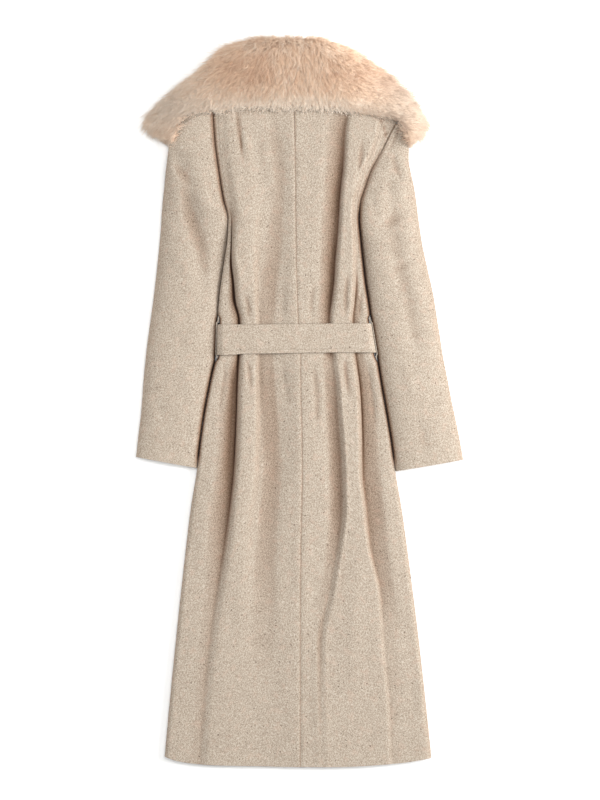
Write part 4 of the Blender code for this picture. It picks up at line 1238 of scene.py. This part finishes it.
# Spiky tufts on the right slope, along its high edge: how spiky, how much longer and how much steeper.
SPIKY_FROM = Stretch(55, 40)
SPIKY_TO = Stretch(208, 20)
SPIKY_EDGE = Stretch(0.18, 0.2)
SPIKINESS = (0.4, 1.0)
SPIKY_LENGTH = 0.1
LONGEST_LENGTH = 0.8
LONGEST_POWER = 10
SPIKY_RAISED = 0.45
# The hairs of a tuft: how they spread, how much closer their middles and tips are than their roots, how
# steep they stand and how much of their length they take below and above the bend, and their unevenness.
TUFT_RADIUS = 6.2
CLING = (0.22, 0.5)
SPIKY_CLING = 0.4
LIFTS = (math.radians(46), math.radians(14))
BENDS = (0.42, 0.58)
HAIR_LENGTHS = (0.7, 1.1)
TUFT_TURN = 0.2
HAIR_TURN = 0.18
HAIR_RISE = 0.12
ROOT_DEPTH = 1.5
TIP_SAG = 1.5
TIP_SPREAD = 0.9
TUFT_TONE = 0.11
HAIR_TONE = 0.12
GREY_SPREAD = 0.05
GREY_MOST = 0.75
# A hair's cross-section is flat and tapers to its middle, and its tone rises from its root to its tip.
HAIR_SIDES = 3
HAIR_FLATNESS = 0.6
HAIR_TAPER = 0.8
ROOT_TONE = 0.12
TONE_RISE = 0.72
Spot = namedtuple("Spot", "x y half_width half_height amount")
# Where the fur's tone is darker, as in a rose-brown patch left of the middle and towards the right end, and
# where it is paler, along the low edge: that band is partly its paler tips and partly painted light where
# the edge turns down into shade.
FUR_TONES_AND_PAINTED_LIGHT = (
    Spot(-88, 578, 58, 32, 0.26), Spot(50, 590, 80, 36, 0.08), Spot(115, 570, 65, 45, 0.18),
    Spot(175, 535, 75, 60, 0.38), Spot(-20, 508, 190, 24, -0.60),
)
# Where it turns from rose to greyish beige, at the collar's ends.
FUR_GREYS = (Spot(-225, 520, 60, 70, 0.6), Spot(180, 520, 80, 70, 0.7))


def fur_roots(start, end, count, rng):
    """Root points on the backing between two places across, spread evenly over its surface."""
    x = np.linspace(start, end, ROOT_COLUMNS)[:, None] + np.zeros((1, ROOT_ROWS))
    turn = np.linspace(0, math.pi, ROOT_ROWS)
    along = (1 - np.cos(turn))[None, :] / 2 + np.zeros((ROOT_COLUMNS, 1))
    y, z = collar_top(x, along, FUR_INSET)
    surface = np.stack([x * (1 - FUR_INSET / COLLAR_HALF_WIDTH), y, z], axis=-1)
    over = surface[1:, :-1] - surface[:-1, :-1]
    down = surface[:-1, 1:] - surface[:-1, :-1]
    normal = np.cross(down, over)
    area = np.linalg.norm(normal, axis=-1)
    normal = normal / np.maximum(area, 1e-9)[..., None]
    normal *= np.where(normal[..., 2:] < 0, -1.0, 1.0)
    number = np.arange(1, count + 1)
    across = np.cumsum(area.sum(axis=1)) / area.sum()
    i = np.minimum(np.searchsorted(across, (number * EVEN_STEPS[0]) % 1), area.shape[0] - 1)
    inward = np.cumsum(area, axis=1) / area.sum(axis=1, keepdims=True)
    part = (number * EVEN_STEPS[1]) % 1
    j = np.minimum((inward[i] < part[:, None]).sum(axis=1), area.shape[1] - 1)
    u, v = rng.random((2, count, 1))
    root = surface[i, j] + over[i, j] * u + down[i, j] * v
    return root, normal[i, j], along[i, j]


def past(place, stretch):
    """0 before the stretch, 1 beyond it, smooth between."""
    return ease((place - stretch.start) / stretch.run)


def fur_strands(start, end, looks, rng):
    """Roots, middles and tips of all strands, their tones and their greyness."""
    tufts = looks.fur_clumps
    count = tufts * looks.fur_strands
    root, normal, along = fur_roots(start, end, tufts, rng)
    angle = np.radians(FUR_FLOW.at("angle", root[:, 0])) * (1 - FLOW_LOSS * past(along, FLOW_STRAIGHTENS))
    angle = angle + rng.normal(0, TUFT_TURN, tufts)
    lying = np.stack([np.sin(angle), -np.cos(angle), np.zeros(tufts)], axis=-1)
    lying = lying - normal * (lying * normal).sum(axis=-1, keepdims=True)
    lying = lying / np.maximum(np.linalg.norm(lying, axis=-1, keepdims=True), 0.2)
    on_slope = past(root[:, 0], SPIKY_FROM) * ease((SPIKY_TO.start - root[:, 0]) / SPIKY_TO.run)
    spiky = on_slope * (1 - past(along, SPIKY_EDGE)) * rng.uniform(*SPIKINESS, tufts)
    length = looks.fur_length / MM * rng.uniform(*TUFT_LENGTHS, tufts)
    length = length * (1 + SPIKY_LENGTH * spiky + LONGEST_LENGTH * spiky ** LONGEST_POWER)
    length = length * (1 - LOW_EDGE_LOSS * past(along, LOW_EDGE))
    raised = RAISED_HIGH + RAISED_MORE * past(along, RAISED) + SPIKY_RAISED * spiky
    tuft_tone = rng.normal(0, TUFT_TONE, tufts)

    pick = np.repeat(np.arange(tufts), looks.fur_strands)
    spread = rng.normal(0, TUFT_RADIUS, (count, 3))
    spread -= normal[pick] * (spread * normal[pick]).sum(axis=-1, keepdims=True)
    way = lying[pick] + rng.normal(0, HAIR_TURN, (count, 3))
    up = normal[pick] + rng.normal(0, HAIR_RISE, (count, 3))
    reach = (length[pick] * rng.uniform(*HAIR_LENGTHS, count))[:, None]
    lifts = [(lift * raised[pick])[:, None] for lift in LIFTS]
    base = root[pick] + spread - normal[pick] * ROOT_DEPTH
    first = reach * BENDS[0] * (way * np.cos(lifts[0]) + up * np.sin(lifts[0]))
    second = reach * BENDS[1] * (way * np.cos(lifts[1]) + up * np.sin(lifts[1]))
    middle = root[pick] + spread * (1 - CLING[0]) + first
    tip_cling = (CLING[1] + SPIKY_CLING * spiky[pick])[:, None]
    tip = root[pick] + spread * (1 - tip_cling) + first + second
    tip[:, 2] -= TIP_SAG
    tip += rng.normal(0, TIP_SPREAD, (count, 3))
    for points in (base, middle, tip):
        points[:, 2] = np.clip(points[:, 2], FUR_FLOOR_Z, FUR_TOP_Z)
    x, y = root[pick, 0], root[pick, 1]
    tone = np.repeat(tuft_tone, looks.fur_strands) + rng.normal(0, HAIR_TONE, count)
    # The fur's darker and paler patches; the pale band along the low edge is partly painted light.
    tone = tone - spot_sum(x, y, FUR_TONES_AND_PAINTED_LIGHT)
    grey = np.clip(spot_sum(x, y, FUR_GREYS) + rng.normal(0, GREY_SPREAD, count), 0, GREY_MOST)
    return (base, middle, tip), tone, grey


def spot_sum(x, y, spots):
    """The sum of soft-edged ovals, each of its own amount in its middle and 0 well outside it."""
    return sum(spot.amount * np.exp(-((x - spot.x) / spot.half_width) ** 2
                                    - ((y - spot.y) / spot.half_height) ** 2) for spot in spots)


def fur_piece(name, strands, tone, grey, thickness, material):
    """Joins tapering strands, closed at the root and pointed at the tip, into one mesh."""
    base, middle, tip = strands
    count = len(tip)
    run = tip - base
    run = run / np.maximum(np.linalg.norm(run, axis=-1, keepdims=True), 1e-6)
    side = np.cross(run, (0.0, 0.0, 1.0))
    side = side / np.maximum(np.linalg.norm(side, axis=-1, keepdims=True), 1e-6)
    over = np.cross(side, run)
    sides, ends = HAIR_SIDES, 2 * HAIR_SIDES
    vertices = np.empty((count, ends + 1, 3))
    for k in range(sides):
        turn = math.tau * k / sides + math.pi / 2
        ring = side * math.cos(turn) + over * math.sin(turn) * HAIR_FLATNESS
        vertices[:, k] = base + ring * thickness
        vertices[:, sides + k] = middle + ring * thickness * HAIR_TAPER
    vertices[:, ends] = tip
    quads = [(k, (k + 1) % sides, sides + (k + 1) % sides, sides + k) for k in range(sides)]
    points = [(sides + k, sides + (k + 1) % sides, ends) for k in range(sides)]
    faces = [(0, *range(sides - 1, 0, -1))] + quads + points
    pattern = np.array([corner for face in faces for corner in face])
    sizes = np.array([len(face) for face in faces])
    strand = np.arange(count)[:, None]
    corners = (strand * (ends + 1) + pattern).ravel()
    starts = (strand * sizes.sum() + np.cumsum(sizes) - sizes).ravel()
    mesh = bpy.data.meshes.new(name)
    mesh.vertices.add(count * (ends + 1))
    mesh.vertices.foreach_set("co", (vertices * MM).ravel())
    mesh.loops.add(len(corners))
    mesh.loops.foreach_set("vertex_index", corners)
    mesh.polygons.add(len(starts))
    mesh.polygons.foreach_set("loop_start", starts)
    mesh.update(calc_edges=True)
    along = np.repeat((0.0, 0.5, 1.0), (sides, sides, 1))
    tones = np.clip(ROOT_TONE + TONE_RISE * along[None, :] + tone[:, None], 0, 1)
    for attribute, values in (("tone", tones.ravel()), ("grey", np.repeat(grey, ends + 1))):
        mesh.attributes.new(attribute, "FLOAT", "POINT").data.foreach_set("value", values)
    mesh.polygons.foreach_set("use_smooth", np.ones(len(starts), dtype=bool))
    mesh.materials.append(material)
    piece = bpy.data.objects.new(name, mesh)
    bpy.context.scene.collection.objects.link(piece)
    return piece


def colour_choice(name, description, red, green, blue):
    """A colour to choose, its default given as seen on screen."""
    return FloatVectorProperty(name=name, description=description, size=3, subtype="COLOR",
                               default=srgb(red, green, blue), min=0, max=1)


def length_choice(name, description, default, least, most):
    """A length to choose."""
    return FloatProperty(name=name, description=description, default=default, min=least, max=most,
                         subtype="DISTANCE", unit="LENGTH")


def strength_choice(name, description, default, most):
    """A strength to choose, from 0 up."""
    return FloatProperty(name=name, description=description, default=default, min=0, max=most)


class CoatLooks(bpy.types.PropertyGroup):
    """Sizes and colours of the coat's cloth and fur."""

    slub_size: length_choice("Slub size", "Length of one slub of the tweed", 0.0032, 0.0005, 0.02)
    wool_light: colour_choice("Light wool", "Palest yarn of the tweed", 182, 170, 155)
    wool_dark: colour_choice("Dark wool", "Darkest ground yarn of the tweed", 138, 124, 109)
    fleck_dark: colour_choice("Dark flecks", "Brown-black flecks", 92, 76, 64)
    fleck_light: colour_choice("Pale flecks", "Near-white flecks", 204, 194, 181)
    fleck_soft: colour_choice("Soft flecks", "Faint brownish flecks", 142, 124, 107)
    russet: colour_choice("Russet flecks", "Reddish flecks", 184, 158, 141)
    # Painted shade: the colours that the cloth is multiplied by in folds and on sides facing a gap, and its
    # strength.
    painted_shade_colour: colour_choice("Fold colour", "Tint of the cloth deep in a fold", 160, 110, 60)
    painted_deep_shade_colour: colour_choice(
        "Deep colour", "Further tint of the cloth's sides where they face a gap", 138, 132, 128)
    fold_shade: FloatProperty(
        name="Fold shade", description="How strongly deep folds are tinted", default=0.88,
        min=0, max=1, subtype="FACTOR")
    fur_root: colour_choice("Fur root", "Colour of the fur near the skin", 200, 157, 128)
    fur_middle: colour_choice("Fur middle", "Colour half-way along a hair", 234, 204, 176)
    fur_tip: colour_choice("Fur tip", "Colour of the fur's tips", 247, 234, 218)
    fur_grey: colour_choice("Fur ends", "Colour of the fur at the collar's ends", 212, 198, 183)
    fur_length: length_choice("Fur length", "Length of a hair", 0.023, 0.004, 0.08)
    fur_thickness: length_choice(
        "Hair thickness", "Half the width of a lock of hair at its root", 0.00036, 0.0001, 0.003)
    fur_clumps: IntProperty(
        name="Tufts", description="Tufts of hair on each third of the collar", default=760,
        min=10, max=5000)
    fur_strands: IntProperty(
        name="Hairs in a tuft", description="Hairs in each tuft", default=25, min=1, max=200)


class StudioSizes(bpy.types.PropertyGroup):
    """Sizes and strengths of the studio."""

    view_height: length_choice(
        "View height", "Length of floor that the picture's height shows", 1.40, 0.2, 10)
    focal_length: FloatProperty(
        name="Lens", description="Focal length in millimetres", default=85.0, min=10, max=300)
    floor_colour: colour_choice("Floor", "Colour of the pale floor", 252, 252, 251)
    left_power: strength_choice("Left light", "Power of the left light in watts", 32.0, 2000)
    right_power: strength_choice("Right light", "Power of the right light in watts", 115.0, 2000)
    top_power: strength_choice("Top light", "Power of the top light in watts", 78.0, 2000)
    room_light: strength_choice("Room light", "Strength of the light from all round", 0.32, 5)


def coat_material(kind):
    """One of the coat's materials, made the first time that it is asked for."""
    makers = {"tweed": tweed, "long_fur": fur_material, "under_fur": backing_material}
    return bpy.data.materials.get(kind) or makers[kind](kind, bpy.context.scene.coat_looks)


class COAT_OT_back(bpy.types.Operator):
    """Lays the two back panels with their folds and the seam between them"""

    bl_idname = "coat.back"
    bl_label = "Back panels"
    bl_options = {"REGISTER", "UNDO"}

    def execute(self, context):
        for half in HALVES:
            points = back_panel(half)
            piece = sheet_piece(f"cloth_back_{half.word}", points, CLOTH, coat_material("tweed"))
            paint_fold_shade(piece, points, half, 0, BODY_SHADE_REACH, SEAM_SHADE)
            declare_sheet(piece, f"back_{half.word}")
        return {"FINISHED"}


class COAT_OT_fronts(bpy.types.Operator):
    """Lays the two wrapped fronts under the back"""

    bl_idname = "coat.fronts"
    bl_label = "Fronts"
    bl_options = {"REGISTER", "UNDO"}

    def execute(self, context):
        for half in HALVES:
            points = front_panel(half)
            piece = sheet_piece(f"cloth_front_{half.word}", points, CLOTH, coat_material("tweed"))
            paint_fold_shade(piece, points, half, 0, BODY_SHADE_REACH)
            declare_sheet(piece, f"front_{half.word}")
        return {"FINISHED"}


class COAT_OT_sleeves(bpy.types.Operator):
    """Makes both sleeves, each from an arched upper piece and a flat under piece"""

    bl_idname = "coat.sleeves"
    bl_label = "Sleeves"
    bl_options = {"REGISTER", "UNDO"}

    def execute(self, context):
        for half in HALVES:
            upper, under = f"sleeve_{half.word}_upper", f"sleeve_{half.word}_under"
            for node, points, below_it in ((upper, upper_sleeve(half), under),
                                           (under, under_sleeve(half), "floor")):
                piece = sheet_piece(f"cloth_{node}", points, CLOTH, coat_material("tweed"))
                paint_fold_shade(piece, points, half, -1, SLEEVE_SHADE_REACH)
                declare_sheet(piece, node)
        return {"FINISHED"}


class COAT_OT_belt(bpy.types.Operator):
    """Ties the belt round the waist, with its two ends laid on each other in front"""

    bl_idname = "coat.belt"
    bl_label = "Belt"
    bl_options = {"REGISTER", "UNDO"}

    def execute(self, context):
        points = belt_band()
        piece = sheet_piece("cloth_belt", points, BELT_THICKNESS, coat_material("tweed"), BELT_BEVEL)
        declare_sheet(piece, "belt")
        return {"FINISHED"}


class COAT_OT_belt_loops(bpy.types.Operator):
    """Sets a thin belt loop on each side seam"""

    bl_idname = "coat.belt_loops"
    bl_label = "Belt loops"
    bl_options = {"REGISTER", "UNDO"}

    def execute(self, context):
        for half in HALVES:
            node = f"belt_loop_{half.word}"
            points = belt_loop(half)
            piece = sheet_piece(f"cloth_{node}", points, LOOP_THICKNESS, coat_material("tweed"), LOOP_BEVEL)
            stand_for(piece, node)
        return {"FINISHED"}


class COAT_OT_fur_collar(bpy.types.Operator):
    """Makes the collar's backing and grows the fur out of it in tufts"""

    bl_idname = "coat.fur_collar"
    bl_label = "Fur collar"
    bl_options = {"REGISTER", "UNDO"}

    def execute(self, context):
        looks = context.scene.coat_looks
        backing = loft_piece("collar_backing", collar_rings(FUR_INSET), coat_material("under_fur"))
        pieces = [backing]
        rng = np.random.default_rng(FUR_SEED)
        for name, start, end in FUR_PIECES:
            strands, tone, grey = fur_strands(start, end, looks, rng)
            pieces.append(fur_piece(name, strands, tone, grey, looks.fur_thickness / MM,
                                    coat_material("long_fur")))
        for piece in pieces:
            stand_for(piece, "collar_fall")
        return {"FINISHED"}


class COAT_OT_lapels(bpy.types.Operator):
    """Makes the collar's lapels, which lie under the chest"""

    bl_idname = "coat.lapels"
    bl_label = "Lapels"
    bl_options = {"REGISTER", "UNDO"}

    def execute(self, context):
        for half in HALVES:
            rings = lapel_rings(half)
            piece = loft_piece(f"lapel_{half.word}", rings, coat_material("under_fur"))
            stand_for(piece, f"collar_lapel_{half.word}")
        return {"FINISHED"}


# The studio, in metres.
FLOOR_SIZE = 14.0
FLOOR_DROP = 0.0003
COAT_MIDDLE_Z = 0.02
SENSOR_WIDTH = 36.0
FARTHEST_SEEN = 50.0


def area_light(name, place, size, power):
    """A square soft light that faces the middle of the coat."""
    light = bpy.data.lights.new(name, "AREA")
    light.shape = "SQUARE"
    light.size = size
    light.energy = power
    lamp = bpy.data.objects.new(name, light)
    bpy.context.scene.collection.objects.link(lamp)
    lamp.location = place
    to_centre = -lamp.location.normalized()
    lamp.rotation_euler = to_centre.to_track_quat("-Z", "Y").to_euler()


class COAT_OT_studio(bpy.types.Operator):
    """Lays the pale floor and sets the camera straight above and the soft lights round the coat"""

    bl_idname = "coat.studio"
    bl_label = "Studio"
    bl_options = {"REGISTER", "UNDO"}

    def execute(self, context):
        sizes = context.scene.coat_studio
        deselect_all()
        bpy.ops.mesh.primitive_plane_add(size=FLOOR_SIZE, location=(0.0, 0.0, 0.0))
        floor = context.object
        floor.name = "floor"
        for vertex in floor.data.vertices:
            vertex.co.z = CAD_LOW.z - FLOOR_DROP
        sheet = NodeSheet("pale_floor")
        sheet.shader.inputs["Base Color"].default_value = (*sizes.floor_colour, 1.0)
        sheet.shader.inputs["Roughness"].default_value = 0.9
        sheet.shader.inputs["Specular IOR Level"].default_value = 0.1
        floor.data.materials.append(sheet.material)

        camera_data = bpy.data.cameras.new("camera")
        camera_data.lens = sizes.focal_length
        camera_data.sensor_width = SENSOR_WIDTH
        camera_data.clip_end = FARTHEST_SEEN
        camera = bpy.data.objects.new("camera", camera_data)
        context.scene.collection.objects.link(camera)
        distance = sizes.view_height * sizes.focal_length / camera_data.sensor_width
        camera.location = (0.0, 0.0, distance + COAT_MIDDLE_Z)
        context.scene.camera = camera

        area_light("left_light", (-2.3, 0.2, 1.25), 1.5, sizes.left_power)
        area_light("right_light", (2.3, 0.2, 1.25), 1.5, sizes.right_power)
        area_light("top_light", (0.5, 0.6, 3.6), 2.0, sizes.top_power)
        world = bpy.data.worlds.new("room")
        world.use_nodes = True
        world.node_tree.nodes["Background"].inputs["Color"].default_value = (1.0, 1.0, 1.0, 1.0)
        world.node_tree.nodes["Background"].inputs["Strength"].default_value = sizes.room_light
        context.scene.world = world
        context.scene.view_settings.view_transform = "Standard"
        return {"FINISHED"}


STEPS = ("back", "fronts", "sleeves", "belt", "belt_loops", "fur_collar", "lapels", "studio")
OPERATORS = (COAT_OT_back, COAT_OT_fronts, COAT_OT_sleeves, COAT_OT_belt, COAT_OT_belt_loops,
             COAT_OT_fur_collar, COAT_OT_lapels, COAT_OT_studio)


class COAT_PT_panel(bpy.types.Panel):
    """Lists the coat's pieces, its colours and its studio"""

    bl_idname = "COAT_PT_panel"
    bl_label = "Belted tweed coat"
    bl_space_type = "VIEW_3D"
    bl_region_type = "UI"
    bl_category = "Coat"

    def draw(self, context):
        for operator in OPERATORS:
            self.layout.operator(operator.bl_idname)
        for group in (context.scene.coat_looks, context.scene.coat_studio):
            for name in group.bl_rna.properties.keys():
                if name not in ("rna_type", "name"):
                    self.layout.prop(group, name)


CLASSES = (CoatLooks, StudioSizes) + OPERATORS + (COAT_PT_panel,)


def register():
    for cls in CLASSES:
        bpy.utils.register_class(cls)
    bpy.types.Scene.coat_looks = PointerProperty(type=CoatLooks)
    bpy.types.Scene.coat_studio = PointerProperty(type=StudioSizes)


def unregister():
    del bpy.types.Scene.coat_studio
    del bpy.types.Scene.coat_looks
    for cls in reversed(CLASSES):
        bpy.utils.unregister_class(cls)


def main():
    register()
    for step in STEPS:
        getattr(bpy.ops.coat, step)()


if __name__ == "__main__":
    main()
